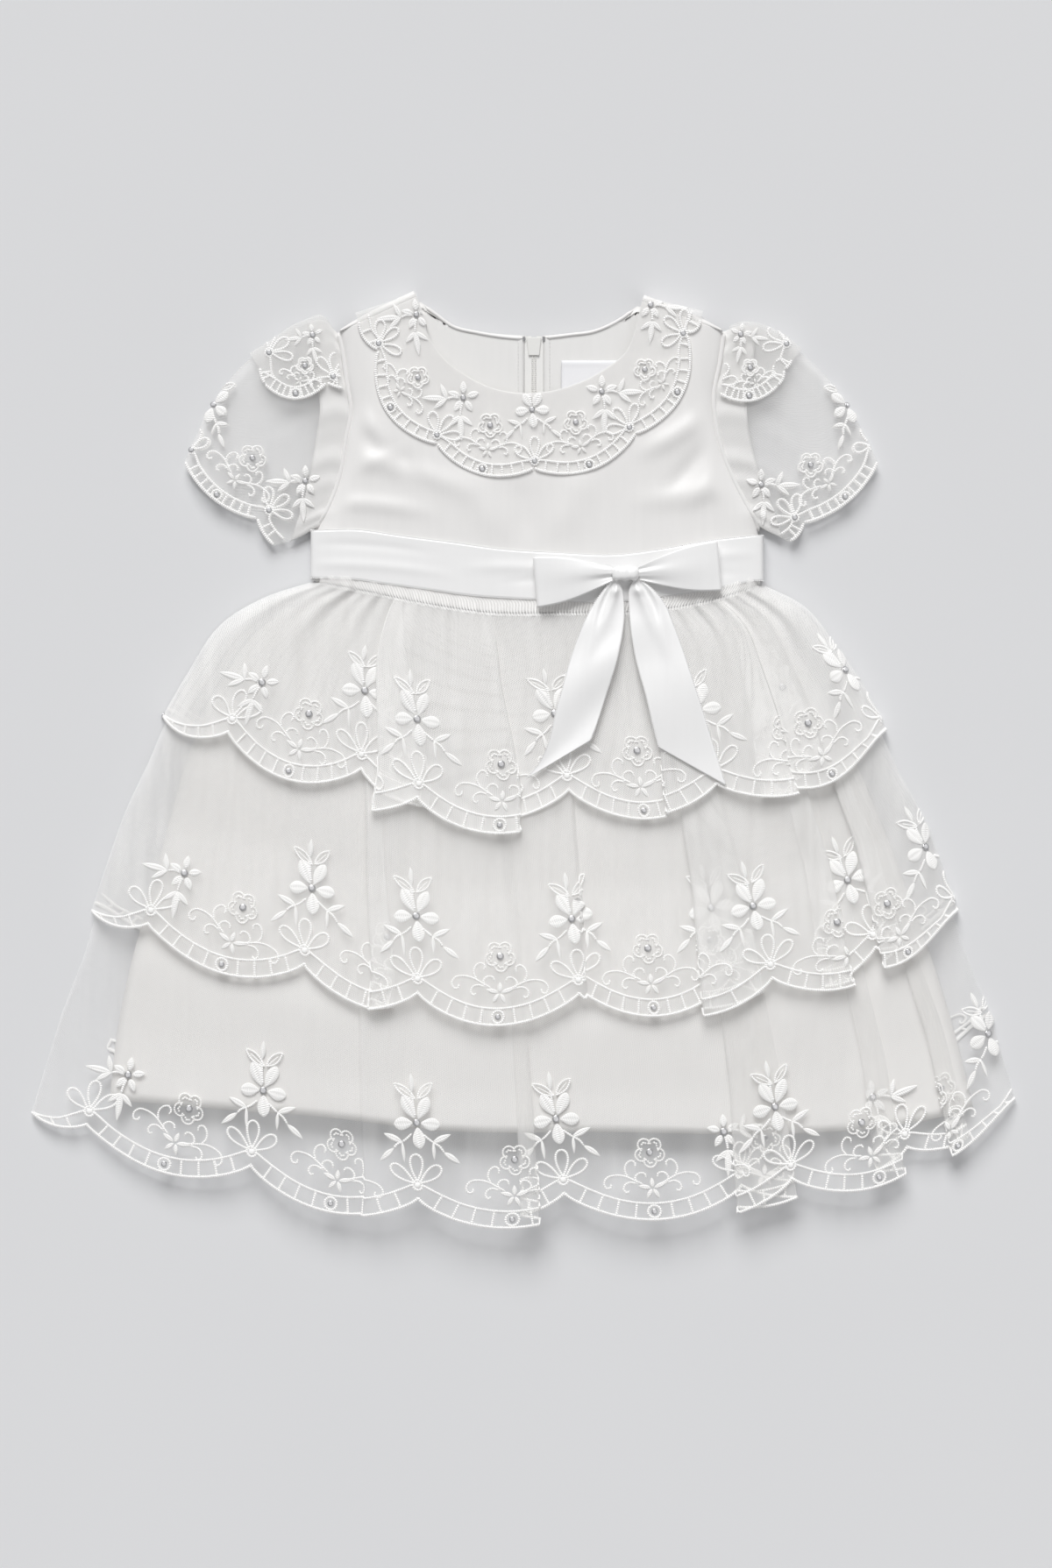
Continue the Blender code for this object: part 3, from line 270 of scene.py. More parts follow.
SLEEVES = {
    "right": {
        "top": (
            (-103.4, 234), (-108.6, 239.4), (-122.2, 236.6), (-141, 225), (-155.8, 213),
            (-170.6, 193.2), (-185.5, 162),
        ),
        "under": ((-113.3, 126.2), (-122.2, 121.2), (-130.3, 117.8), (-137, 116.4)),
        "armhole": (
            (-103.4, 234), (-101, 226.8), (-97.5, 203.9), (-95.6, 191.8), (-98.2, 174.3),
            (-102.9, 150), (-109, 135), (-113.3, 126.2),
        ),
        "hem": ((-185.5, 162, 6.5), (-146, 131, 1.6), (-137, 116.4, 0)),
        "cap_top": ((-104.4, 235.4), (-109.2, 242), (-122.2, 238.8), (-141.4, 226.8), (-149.8, 221.6)),
        "cap_hem": ((-98.4, 201.5, 0.6), (-107.6, 204.6, 8.5), (-141.5, 204, 1), (-144.6, 213.4, 0)),
    },
    "left": {
        "top": (
            (111.4, 234.2), (116, 236.2), (132.6, 234.4), (151, 222.4), (168.2, 205.4),
            (181.7, 185), (193.7, 162),
        ),
        "under": ((127.4, 127.8), (131.8, 125), (138.5, 121.7), (145.7, 118.3)),
        "armhole": (
            (111.4, 234.2), (108.4, 217.4), (104.9, 198.5), (105.6, 186.5), (109.6, 167.6),
            (115, 154.1), (121.8, 140.6), (127.4, 127.8),
        ),
        "hem": ((193.7, 162, 6.5), (153.4, 128.6, 1.6), (145.7, 118.3, 0)),
        "cap_top": ((112.6, 236.6), (118, 238.6), (133.2, 236.4), (142.3, 231.6), (151.9, 224.1)),
        "cap_hem": ((106.6, 199, 6.5), (138.6, 203, 1.5), (142.6, 212, 0.8), (146.8, 217.6, 0)),
    },
}
CAP_TOP = SLEEVE_HIGH + PLY

# ---- sash and bow
SASH_LOWER = (
    (-116.4, 98.3), (-96.2, 97.5), (-77.5, 95), (-59.3, 92.7), (-31.9, 89), (4.1, 86.8),
    (49.2, 85.2), (78, 88.1), (108.2, 92.4), (130.8, 96.9),
)
SASH_UPPER = (
    (-116.4, 124.6), (-96.2, 124.9), (-68.4, 121.3), (-41, 118), (-13.2, 114.3), (19.4, 112.3),
    (53.5, 111.3), (77, 114.1), (105.4, 118.9), (130.8, 121.7),
)
SASH_TOP = BODICE_TOP + PLY
SASH_COLUMNS, LOOP_COLUMNS, TAIL_COLUMNS = 22, 33, 29  # points across each ribbon
SASH_FOLDS = (
    (-116, 106, -40, 100, 2.6, 0.5),
    (-112, 117, -50, 112, 2.2, -0.4),
    (-30, 104, 40, 101, 3, 0.6),
    (-10, 96, 48, 97, 2, -0.4),
    (66, 104, 126, 112, 3, 0.6),
    (70, 96, 120, 101, 2.2, -0.4),
)
KNOT = (55.4, 100.6)
KNOT_SIZE = (15.0, 7.6, 6.4)
BOW_FLOOR = 11.4
LOOPS = {
    # end near the knot (x, y, half width), far edge's upper and lower corner
    "right": ((49, 100.4, 3.4), (5.2, 109.4), (7.6, 82.4)),
    "left": ((62, 100.8, 3.4), (105.2, 118.2), (107.4, 91.6)),
}
LOOP_RISE = 4.8
LOOP_REACH = 0.965  # share of the loop's length where its far end begins to turn
LOOP_BULGE = 0.11  # how far its edges bow out
LOOP_PUFF, LOOP_SWELL = 0.72, 0.34  # its height over the rise at its edges, and what the middle adds
LOOP_PINCH = 0.35  # what is left of that at the knot
LOOP_PLEATS = {
    # folds across the ribbon, height, turned by, share of the loop in which they fade
    "right": ((1.4, 0.7, 0.4, 0.35), (3.2, 0.25, 1.9, 0.12), (0.5, 0.5, 3.14, 3)),
    "left": ((1.4, 0.7, 2.2, 0.35), (3.2, 0.25, 0.7, 0.12), (0.5, 0.5, 3.14, 3)),
}
TAILS = {
    "right": (
        ((48.4, 98), (43.4, 91.8), (38, 84), (28.2, 62.6), (19, 31.4), (8.4, -2.2), (1.7, -10.8)),
        ((50.4, 98.2), (53.4, 92), (54.6, 82), (51.6, 57.8), (44.4, 33.8), (38.6, 16), (36.2, 9.8)),
    ),
    "left": (
        ((60.6, 98.2), (57.6, 92.2), (57.4, 82), (60.2, 57.8), (67, 31.4), (71.6, 12), (73.2, 6)),
        ((62.6, 98), (69.8, 92.6), (76, 85.4), (81.8, 72), (92.4, 41), (105.2, 0.4), (109.7, -14.6)),
    ),
}
TAIL_HEIGHT = (
    # y, height of the upper face
    (-20, 19.4), (20, 17.8), (50, 17.2), (72, 15), (84, 13.4), (95, 13.4), (100, 14),
)
TAIL_FOLDS = {
    # middle across, drift, half width across, height, share of the length in which it fades
    "right": ((0.75, -0.9, 0.16, 2.4, 0.5), (0.3, 0.2, 0.12, -1.2, 0.3), (0.1, 0.6, 0.10, 1.2, 0.7)),
    "left": ((0.3, 0.8, 0.16, 2.4, 0.5), (0.7, -0.2, 0.12, -1.2, 0.3), (0.9, -0.6, 0.10, 1.2, 0.7)),
}
TAIL_DENTS = (
    # height, half width across, where along the tail, half length
    (1.5, 0.24, 0.075, 0.030),
    (-1.1, 0.14, 0.060, 0.022),
)
TAIL_WAVE = 0.9
PICOT, PICOT_PITCH = 0.5, 1.15
ZIP_FACE = 3.9  # height of the zip's coil
COIL_X, COIL_Y = (-0.75, 0.75), (222.0, 160.0)  # rows of the coil, and its top and bottom
STITCH_X, STITCH_TOP, STITCH_HEIGHT = (-8.6, 8.6), 230.0, 4.8
LABEL = (20.4, 56.0, 189.0, 217.4)  # left x, right x, bottom y, top y
LABEL_TURNING, LABEL_CURL = 0.35, 0.35  # height of its turned ends, and how far its sides stand up

# ---- what is sewn on each piece
SEWN_ON = {
    # piece: words that the names of what is sewn on it hold
    "collar_net": ["_collar"],
    "sash_ribbon": ["picots_sash"],
    "bodice_front_satin": ["shoulder_", "armhole_seam_"],
    "neck_lining_left_cloth": ["zip_stitches"],
}
SEWN_ON |= {f"net_{tier}_{face}": [f"_{tier}_{face}"] for tier in TIERS for face in ("front", "back")}
for side in SLEEVES:
    SEWN_ON |= {f"sleeve_net_{side}": [f"_sleeve_{side}"], f"sleeve_cap_net_{side}": [f"_cap_{side}"]}
    for part in ("loop", "tail"):
        SEWN_ON[f"bow_{part}_ribbon_{side}"] = [f"picots_bow_{part}_ribbon_{side}"]

# ---- embroidery sizes
# On the flat cloth, with x = 0 at a cusp and y up from it.
NEAR = 0.3  # step for slopes
BEAD = 1.15  # pitch of a cord's beads and of a petal's stitches
SUNK = 0.45  # how far a section is lifted, in its own heights
CORD_SWELL, PETAL_SWELL = 0.38, 0.42
PETAL_HEIGHT = 0.55
BORDER = 8.8  # from the outer cord to the inner one
OUTER_CORD, CORD, FINE_CORD = 0.8, 0.64, 0.54  # half widths
CORD_RISE = 0.75  # their heights over their widths
FULL_LADDER, FOLDED_LADDER, SHORT_LADDER = 10, 4, 3  # spaces between the rungs of one scallop
LADDER_RING, SMALL_CRYSTAL = 3.3, 0.8
KNOT_Y, KNOT_RING = 6.8, 2.6
SPRAY_Y, STAR_Y, STAR_SIZE = 40.0, 30.0, 1.1
RING_Y, FLOWER_Y = -11.6, 20.7
BOW_LOOPS = ((14.6, 7.3), (15.0, 6.5), (15.0, 6.5))  # length, width
SPRAY_PETALS = (
    # tip from the flower's centre, width
    ((-12.6, -2.1), 7.2), ((12.8, -0.5), 7), ((-7.2, 13.4), 6.6), ((6.9, 13.9), 6.6), ((1.2, -13.8), 6.8),
)
SPRAY_STEMS = (
    ((-0.5, 3), (-1.4, 9), (-1.9, 15.6)),
    ((-3, -6), (-6.5, -9.5), (-8.6, -11)),
    ((-8.6, -11), (-11.4, -12.6), (-13.3, -15)),
    ((3, -6), (6, -8.2), (8.5, -9.9)),
    ((8.5, -9.9), (11.8, -11.8), (14.2, -15)),
)
SPRAY_LEAVES = (
    # base, tip, width
    ((-1.9, 15.6), (-2.2, 25.7), 3),
    ((-8.6, -11), (-18.5, -7.8), 3.4), ((-13.3, -15), (-21.1, -22.6), 3.2),
    ((-8.6, -11), (-7.6, -21.8), 2), ((8.5, -9.9), (18.4, -5.2), 3.4),
    ((14.2, -15), (22.6, -20.8), 3.2), ((8.5, -9.9), (8.7, -19.2), 2),
)
SPRAY_OUTLINES = (((-0.6, 12.5), (-11.7, 19.2), 4.2), ((1.2, 13.0), (9.3, 21.5), 4.2))
STAR_ANGLES = (90.0, 17.0, 160.0, -57.0, -124.0)
STAR_STEMS = (
    ((-2.2, -0.2), (-5.4, 0.2), (-8.7, -0.7)),
    ((-0.3, -2.2), (-1.2, -5.6), (-1.6, -9.4)),
)
STAR_LEAVES = (
    ((-8.7, -0.7), (-22, -0.2), 3.4), ((-8.7, -0.7), (-11.8, 7.2), 2.8), ((-8.7, -0.7), (-15.4, -6), 2.8),
    ((-1.6, -9.4), (-0.9, -22.6), 3.4), ((-1.6, -9.4), (-7.2, -14.8), 2.8), ((-1.6, -9.4), (4.9, -14.6), 2.8),
)
MIDDLE_RING, MIDDLE_LENGTH = 12.3, 32.3  # from the ringed crystal to the small and to the knotted flower
MIDDLE_PETALS = (
    ((0, 0.6), (-0.1, 6.2), 2.6), ((-0.5, 0), (-3.4, -5), 2.4), ((0.5, 0), (3.4, -5), 2.4),
    ((-1, 0.6), (-7.6, 1.9), 2.6), ((1, 0.6), (8.2, 3.6), 2.6),
)
MIDDLE_SCROLLS = (
    (
        (5, 2.8), (9.6, 5.1), (14.5, 7.4), (20, 8.1), (24.5, 6.8), (26.2, 3.6), (24.9, 1.1), (22.6, 1.7),
        (22.5, 3.7),
    ),
    ((8.4, 3.2), (12.1, 4), (15, 2.5), (15.7, 0), (14.1, -1.6), (12.8, -0.4)),
    ((8, 3), (9, 6.5), (6.8, 8.8), (3.8, 8.5), (3, 6.3)),
    ((12.8, 6.9), (14.3, 10.2), (13.2, 14.2), (10.4, 15.8), (8.4, 14.3), (8.8, 12)),
)
# On the laid collar, sleeves and caps, in plan.
SMALL = 0.78  # their borders and bows over the skirt's
COLLAR_BOWS = (
    # knot x, y, directions of its loops
    (-79.1, 226.4, 85, 37, -23), (-47.3, 176.5, 103, 51, -3), (5.9, 162.3, 144, 90, 42),
    (57.6, 180.7, 187, 130, 75), (86.9, 231.9, 207, 139, 86),
)
COLLAR_SPRAYS = (
    # spray, x, y, size, turn, mirrored
    ("big", 4.5, 190.3, 0.74, 0, False),
    ("star", -33, 196.8, 1.05, 0, False),
    ("star", 42.5, 200.2, 1.05, 0, True),
    ("star", -58.6, 242.1, 1, 6, False),
    ("star", 69.2, 247.4, 0.95, -4, True),
)
COLLAR_MIDDLES = (
    # ring x, y, knotted flower x, y
    (-74, 195.8, -57.7, 207.8), (-20.8, 159.3, -18.3, 181.8),
    (32.8, 161.2, 28.4, 183.4), (81.6, 199.3, 66, 212.1),
)
SLEEVE_BOWS = {
    "right": ((-139.1, 135.6, 92, 37, -14), (-181.6, 168.7, 63, 24)),
    "left": ((148, 131.6, 84, 132, 190), (190, 170.6, 185, 122)),
}
SLEEVE_SPRAYS = {
    "right": (("big", -169.6, 193.4, 0.8, -30, False), ("star", -119.3, 151.6, 1, 0, False)),
    "left": (("big", 176.6, 193.1, 0.8, 34, True), ("star", 129.6, 149.7, 1, 0, True)),
}
SLEEVE_MIDDLES = {"right": ((-164.0, 143.9, -148.1, 164.1),), "left": ((172.9, 143.6, 156.7, 160.4),)}
CAP_BOWS = {
    "right": ((-104, 208.6, 85, 130, 35), (-139, 221.6, 35, 85, -12)),
    "left": ((103.6, 204.6, 55, 100, 10), (143.4, 226.4, 140, 95, 190)),
}
CAP_SPRAYS = {
    "right": (("star", -115.2, 231.2, 0.72, 10, False),),
    "left": (("star", 118.4, 231.6, 0.72, -10, True),),
}
CAP_MIDDLES = {"right": ((-124.2, 200.4, -119.4, 214.4),), "left": ((128.4, 199.4, 123.6, 213.4),)}

# ---- camera, light and table
PICTURE_HEIGHT = 858.7  # what the frame takes in at the table
PICTURE_CENTRE = (1.2, -13.9)
CAMERA_HEIGHT = 2400.0
SENSOR = 36.0
LIGHTS = (
    # name, strength, turned about x, y and z, how broad it is
    ("key", 2.66, (-50.0, -10.0, 0.0), 34.0),
    ("fill", 0.32, (24.0, 30.0, 0.0), 60.0),
)
SKY, SKY_STRENGTH = (0.985, 0.985, 1.0, 1.0), 0.27
TABLE_HALF = 4000.0
TABLE_Z = -0.4


def camera_and_light():
    """Camera straight above, a broad light from beyond the neck, a weaker one opposite and a pale table."""
    lens = bpy.data.cameras.new("camera")
    lens.sensor_width = SENSOR
    lens.lens = SENSOR * CAMERA_HEIGHT / PICTURE_HEIGHT
    lens.clip_end = 20.0
    camera = bpy.data.objects.new("camera", lens)
    camera.location = (PICTURE_CENTRE[0] * MM, PICTURE_CENTRE[1] * MM, CAMERA_HEIGHT * MM)
    bpy.context.scene.collection.objects.link(camera)
    bpy.context.scene.camera = camera
    for name, energy, turn, angle in LIGHTS:
        sun = bpy.data.lights.new(name, "SUN")
        sun.energy = energy
        sun.angle = math.radians(angle)
        light = bpy.data.objects.new(name, sun)
        light.rotation_euler = [math.radians(a) for a in turn]
        bpy.context.scene.collection.objects.link(light)
    world = bpy.data.worlds.new("studio")
    world.use_nodes = True
    background = world.node_tree.nodes["Background"]
    background.inputs["Color"].default_value = SKY
    background.inputs["Strength"].default_value = SKY_STRENGTH
    scene = bpy.context.scene
    scene.world = world
    scene.view_settings.view_transform = "Standard"
    scene.cycles.transparent_max_bounces = 48
    scene.cycles.max_bounces = 12
    scene.cycles.diffuse_bounces = 6
    plane = np.array([[-1.0, -1.0, 0.0], [1.0, -1.0, 0.0], [1.0, 1.0, 0.0], [-1.0, 1.0, 0.0]]) * TABLE_HALF
    table = mesh_object("table", plane, np.array([[0, 1, 2, 3]]), table_paint())
    table.location.z = TABLE_Z * MM


# ---- curves
def smooth(low, high, x):
    """0 below low, 1 above high, and an S-shaped step between."""
    t = np.clip((np.asarray(x, float) - low) / (high - low), 0.0, 1.0)
    return t * t * (3.0 - 2.0 * t)


def spline(table, x):
    """Smooth curve through a table's rows, read by its first column: cubic pieces with central slopes."""
    table = np.asarray(table, float)
    knots, rows = table[:, 0], table[:, 1:]
    slopes = np.gradient(rows, knots, axis=0)
    x = np.asarray(x, float)
    i = np.clip(np.searchsorted(knots, x) - 1, 0, len(knots) - 2)
    width = (knots[i + 1] - knots[i])[..., None]
    t = (x[..., None] - knots[i][..., None]) / width
    start = (2 * t**3 - 3 * t**2 + 1) * rows[i] + (t**3 - 2 * t**2 + t) * width * slopes[i]
    end = (3 * t**2 - 2 * t**3) * rows[i + 1] + (t**3 - t**2) * width * slopes[i + 1]
    return (start + end)[..., 0] if rows.shape[1] == 1 else start + end


def shares(count, low=0.0, high=1.0):
    return np.linspace(low, high, count)


def round_turn(count):
    """Angles once round, without the last, which is the first again."""
    return np.linspace(0.0, math.tau, count + 1)[:-1]


def unit(vectors):
    return vectors / np.maximum(np.linalg.norm(vectors, axis=-1), 1e-9)[..., None]


def to_left(run):
    """Plan directions a quarter turn to the left of the given ones."""
    return np.stack([-run[..., 1], run[..., 0]], axis=-1)


def heading(degrees):
    """Plan direction at an angle from +x."""
    return np.array([math.cos(math.radians(degrees)), math.sin(math.radians(degrees))])


def angle_of(run):
    """Angle of a plan direction from +x, in degrees."""
    return math.degrees(math.atan2(run[1], run[0]))


def between(edges, share):
    """Points from one edge to the other, by share, where edges holds both for each row."""
    return edges[:, :1] + (edges[:, 1:] - edges[:, :1]) * share


def way_along(points):
    """Length of the polyline up to each of its points."""
    points = np.asarray(points, float)
    return np.concatenate([[0.0], np.cumsum(np.linalg.norm(np.diff(points, axis=0), axis=1))])


def along(points, t):
    """Points at shares t (0 to 1) of the way along a smooth curve through the given points."""
    way = way_along(points)
    return spline(np.column_stack([way / way[-1], points]), t)


def round_arch(f):
    """A scallop's outline over its chord: 0 at both cusps, 1 in the middle, rounder than a sine."""
    return np.sin(np.pi * np.clip(f, 0.0, 1.0)) ** 0.75


def quarter(e):
    """Quarter circle that rises from 0 at e = 0 to 1 at e = 1 and stays there."""
    return np.sqrt(1.0 - (1.0 - np.clip(e, 0.0, 1.0)) ** 2)


def folded_edge(count):
    """Half turn from on top to beneath, squarer than a half circle: how far out, and how far up (1 to -1)."""
    turn = shares(count, 0.0, np.pi)
    side, up = np.sin(turn), np.cos(turn)
    return np.abs(side) ** 0.6, np.sign(up) * np.abs(up) ** 0.6


def patch(bottom, top, left, right, u, v):
    """Flat patch between four edge curves: the blend of both ruled surfaces less their shared corners."""
    u, v = u[..., None], v[..., None]
    zero, one = np.zeros_like(u[..., 0]), np.ones_like(u[..., 0])
    across = (1 - u) * along(left, v[..., 0]) + u * along(right, v[..., 0])
    upward = (1 - v) * bottom(u[..., 0]) + v * top(u[..., 0])
    low_corners = (1 - u) * along(left, zero) + u * along(right, zero)
    high_corners = (1 - u) * along(left, one) + u * along(right, one)
    return across + upward - (1 - v) * low_corners - v * high_corners


def raised(plan, height):
    """3-D points over plan points."""
    return np.concatenate([plan, np.broadcast_to(height, plan.shape[:-1])[..., None]], axis=-1)


def creases(plan, table):
    """Sum of soft straight ridges and troughs over the plan, each fading towards both its ends."""
    height = np.zeros(plan.shape[:-1])
    for x0, y0, x1, y1, width, rise in table:
        start, run = np.array([x0, y0]), np.array([x1 - x0, y1 - y0])
        length = np.linalg.norm(run)
        way = (plan - start) @ run / length**2
        off = ((plan - start) @ to_left(run)) / length
        bow = 0.10 * length * (way - way**2)
        fade = smooth(-0.15, 0.3, way) * (1.0 - smooth(0.6, 1.15, way))
        height = height + rise * fade * np.exp(-(((off - bow) / width) ** 2))
    return height


# ---- meshes
def mesh_object(name, points, faces, stuff, uv=None, smooth_faces=True):
    """Mesh of the points (mm) and of faces that all have the same number of corners, with its material."""
    mesh = bpy.data.meshes.new(name)
    mesh.vertices.add(len(points))
    mesh.vertices.foreach_set("co", (np.asarray(points, float) * MM).ravel())
    mesh.loops.add(faces.size)
    mesh.loops.foreach_set("vertex_index", faces.ravel().astype(np.int32))
    mesh.polygons.add(len(faces))
    mesh.polygons.foreach_set("loop_start", np.arange(0, faces.size, faces.shape[1], dtype=np.int32))
    mesh.update(calc_edges=True)
    if uv is not None:
        layer = mesh.uv_layers.new(name="cloth")
        layer.data.foreach_set("uv", uv[faces.ravel()].ravel())
    if smooth_faces:
        mesh.shade_smooth()
    else:
        mesh.shade_flat()
    mesh.materials.append(stuff)
    made = bpy.data.objects.new(name, mesh)
    bpy.context.scene.collection.objects.link(made)
    return made


def grid_faces(rows, columns, ring=False, flip=False):
    """Corner numbers of a grid's quads; a ring joins its last row to its first."""
    index = np.arange(rows * columns).reshape(rows, columns)
    following = np.roll(index, -1, axis=0) if ring else index[1:]
    index = index if ring else index[:-1]
    corners = [index[:, :-1], following[:, :-1], following[:, 1:], index[:, 1:]]
    quads = np.stack(corners[::-1] if flip else corners, axis=2)
    return quads.reshape(-1, 4)


def cloth_map(grid):
    """Flat map of a grid in millimetres: the ways along its rows and its columns."""
    down = np.concatenate([[0.0], np.cumsum(np.linalg.norm(np.diff(grid, axis=0), axis=2).mean(axis=1))])
    across = np.linalg.norm(np.diff(grid, axis=1), axis=2)
    across = np.concatenate([np.zeros((len(grid), 1)), np.cumsum(across, axis=1)], axis=1)
    return np.stack([across, np.broadcast_to(down[:, None], across.shape)], axis=-1)


def grid_piece(name, grid, finish, uv=None, ring=False, flip=False, wall=0.0, replaces=()):
    """Cloth surface over a grid of points, with a wall inwards from it where one is given."""
    flat_uv = cloth_map(grid) if uv is None else uv
    faces = grid_faces(*grid.shape[:2], ring, flip)
    stuff, slot = FINISH[finish]
    made = mesh_object(name, grid.reshape(-1, 3), faces, stuff, flat_uv.reshape(-1, 2))
    if wall:
        shell = made.modifiers.new("wall", "SOLIDIFY")
        shell.thickness = wall * MM
        shell.offset = -1.0
        shell.use_quality_normals = True
    return dressed(made, slot, replaces)


def dressed(piece, slot, replaces=()):
    """Puts the piece under the gown's body and hides the solids that it stands for; the slot is not used."""
    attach(piece, GOWN)
    if replaces:
        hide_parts(*replaces)
    return piece


class Heap:
    """Points and triangles of many small shapes, joined into one mesh."""

    def __init__(self):
        self.points, self.faces, self.count = [], [], 0

    def add(self, points, faces):
        points = points.reshape(-1, 3)
        self.points.append(points)
        self.faces.append(faces + self.count)
        self.count += len(points)

    def finish(self, name, finish, smooth_faces=False, slot=None):
        """Makes the piece, where anything was added, with the finish's material."""
        if not self.points:
            return
        stuff, usual = FINISH[finish]
        points, faces = np.concatenate(self.points), np.concatenate(self.faces)
        dressed(mesh_object(name, points, faces, stuff, smooth_faces=smooth_faces), slot or usual)


def halves(quads):
    """Two triangles for each quad."""
    return np.concatenate([quads[:, [0, 1, 2]], quads[:, [0, 2, 3]]])


def many(faces, count, corners):
    """The faces of one small shape again for each of the count shapes, which have that many corners."""
    return (faces[None] + (np.arange(count) * corners)[:, None, None]).reshape(-1, 3)


def rod_faces(sides, length):
    """Triangles of a closed rod: its rows of length points run along it, and a fan shuts each end."""
    fan = np.arange(1, sides - 1)
    start = np.column_stack([fan * 0, fan + 1, fan]) * length
    end = np.column_stack([fan * 0, fan, fan + 1]) * length + length - 1
    return np.concatenate([halves(grid_faces(sides, length, ring=True)), start, end])


# ---- materials
class Value:
    """One socket of a material. Python arithmetic on it adds Math nodes."""

    def __init__(self, paint, socket):
        self.paint, self.socket = paint, socket

    def maths(self, operation, *inputs):
        return self.paint.node("ShaderNodeMath", {"operation": operation}, dict(enumerate(inputs)))[0]

    def __add__(self, other):
        return self.maths("ADD", self, other)

    def __sub__(self, other):
        return self.maths("SUBTRACT", self, other)

    def __rsub__(self, other):
        return self.maths("SUBTRACT", other, self)

    def __mul__(self, other):
        return self.maths("MULTIPLY", self, other)

    def __truediv__(self, other):
        return self.maths("DIVIDE", self, other)

    def sine(self):
        return self.maths("SINE", self)

    def cosine(self):
        return self.maths("COSINE", self)

    def least(self, other):
        return self.maths("MINIMUM", self, other)

    def most(self, other):
        return self.maths("MAXIMUM", self, other)

    __radd__, __rmul__ = __add__, __mul__


class Paint:
    """A material under construction round its Principled shader."""

    def __init__(self, name, **constants):
        self.material = bpy.data.materials.new(name)
        self.material.use_nodes = True
        self.tree = self.material.node_tree
        self.shader = self.tree.nodes["Principled BSDF"]
        for socket, value in constants.items():
            self.shader.inputs[socket.replace("_", " ")].default_value = value

    def node(self, kind, settings=None, inputs=None):
        """Adds a node: its own settings first, then values or links for its sockets. Gives its outputs."""
        made = self.tree.nodes.new(kind)
        for name, value in (settings or {}).items():
            setattr(made, name, value)
        for name, value in (inputs or {}).items():
            if isinstance(value, Value):
                self.tree.links.new(value.socket, made.inputs[name])
            else:
                made.inputs[name].default_value = value
        return [Value(self, socket) for socket in made.outputs]

    def feed(self, socket, value):
        self.tree.links.new(value.socket, self.shader.inputs[socket])

    def cloth_way(self):
        """The two cloth directions of the piece's own map, in millimetres."""
        (flat,) = self.node("ShaderNodeUVMap", {"uv_map": "cloth"})[:1]
        return self.node("ShaderNodeSeparateXYZ", inputs={0: flat})[:2]

    def place(self):
        """Object coordinates, in metres."""
        return self.node("ShaderNodeTexCoord")[3]

    def noise(self, size, detail=2.0, stretch=None):
        """Noise from 0 to 1 with features about size millimetres wide."""
        where = self.place()
        if stretch:
            where = self.node("ShaderNodeMapping", inputs={"Vector": where, "Scale": stretch})[0]
        sockets = {"Vector": where, "Scale": 1.0 / (size * MM), "Detail": detail}
        return self.node("ShaderNodeTexNoise", inputs=sockets)[0]

    def blend(self, share, first, second):
        """Colour between two colours, by share."""
        sockets = {0: share, 6: (*first, 1.0), 7: (*second, 1.0)}
        return self.node("ShaderNodeMix", {"data_type": "RGBA"}, sockets)[2]

    def bump(self, height, distance):
        """Relief whose height of 1 stands for that many millimetres."""
        sockets = {"Height": height, "Distance": distance * MM, "Strength": 1.0}
        self.feed("Normal", self.node("ShaderNodeBump", inputs=sockets)[0])


def table_paint():
    paint = Paint("table_paper", Roughness=0.75, Specular_IOR_Level=0.25)
    paint.feed("Base Color", paint.blend(paint.noise(180.0), (0.768, 0.772, 0.783), (0.784, 0.788, 0.799)))
    return paint.material


def satin_paint(name, light, dark, roughness, thread=0.28, gloss=0.45):
    """Satin: threads that float along one way give a broad sheen, crossed by a faint slub."""
    paint = Paint(name, Sheen_Weight=0.12, Sheen_Roughness=0.4, Specular_IOR_Level=gloss)
    across, length = paint.cloth_way()
    float_threads = (length * (math.tau / thread)).sine() * 0.5 + 0.5
    binding = (across * (math.tau / (thread * 1.7)) + length * (math.tau / (thread * 2.4))).sine() * 0.5 + 0.5
    slub = paint.noise(3.5, 3.0, (1.0, 0.12, 1.0))
    paint.feed("Base Color", paint.blend(slub, dark, light))
    paint.feed("Roughness", slub * 0.04 + (roughness - 0.02))
    paint.bump(float_threads * 0.6 + binding * 0.4 + slub * 0.1, 0.02)
    return paint.material


def net_paint(name, reach, softness, film, streak=0.4, painted_glow=0.0, cell=0.98):
    """Bobbin net: the sum of three cosines at 60 degrees is lowest along the sides of six-sided cells.

    The threads lie there and alpha is full. A thin film stands for the fuzz between them, streaks for closer
    gathers down the cloth, and a painted glow, an emission, for light that comes through the layers.
    """
    light, dark = (0.975, 0.968, 0.955), (0.955, 0.948, 0.935)
    # The emission below is a painted glow: it lifts the net against the shade that its layers cast on each
    # other.
    paint = Paint(
        name, Roughness=0.55, Sheen_Weight=0.3, Sheen_Roughness=0.4, Specular_IOR_Level=0.35,
        Emission_Color=(*light, 1.0), Emission_Strength=painted_glow,
    )
    across, length = paint.cloth_way()
    drift = paint.noise(16.0) * 0.6
    across = (across + drift) * (math.tau / (cell * math.sqrt(0.75)))
    length = length * (math.tau / cell)
    cells = across.cosine() + (across * 0.5 + length).cosine() + (length - across * 0.5).cosine()
    streaks = (paint.noise(7.0, 3.0, (1.0, 0.12, 1.0)) - 0.5) * streak
    threads = ((streaks + reach - cells) / softness).most(0.0).least(1.0)
    paint.feed("Alpha", threads * (1.0 - film) + film)
    paint.feed("Base Color", paint.blend(paint.noise(45.0), dark, light))
    return paint.material


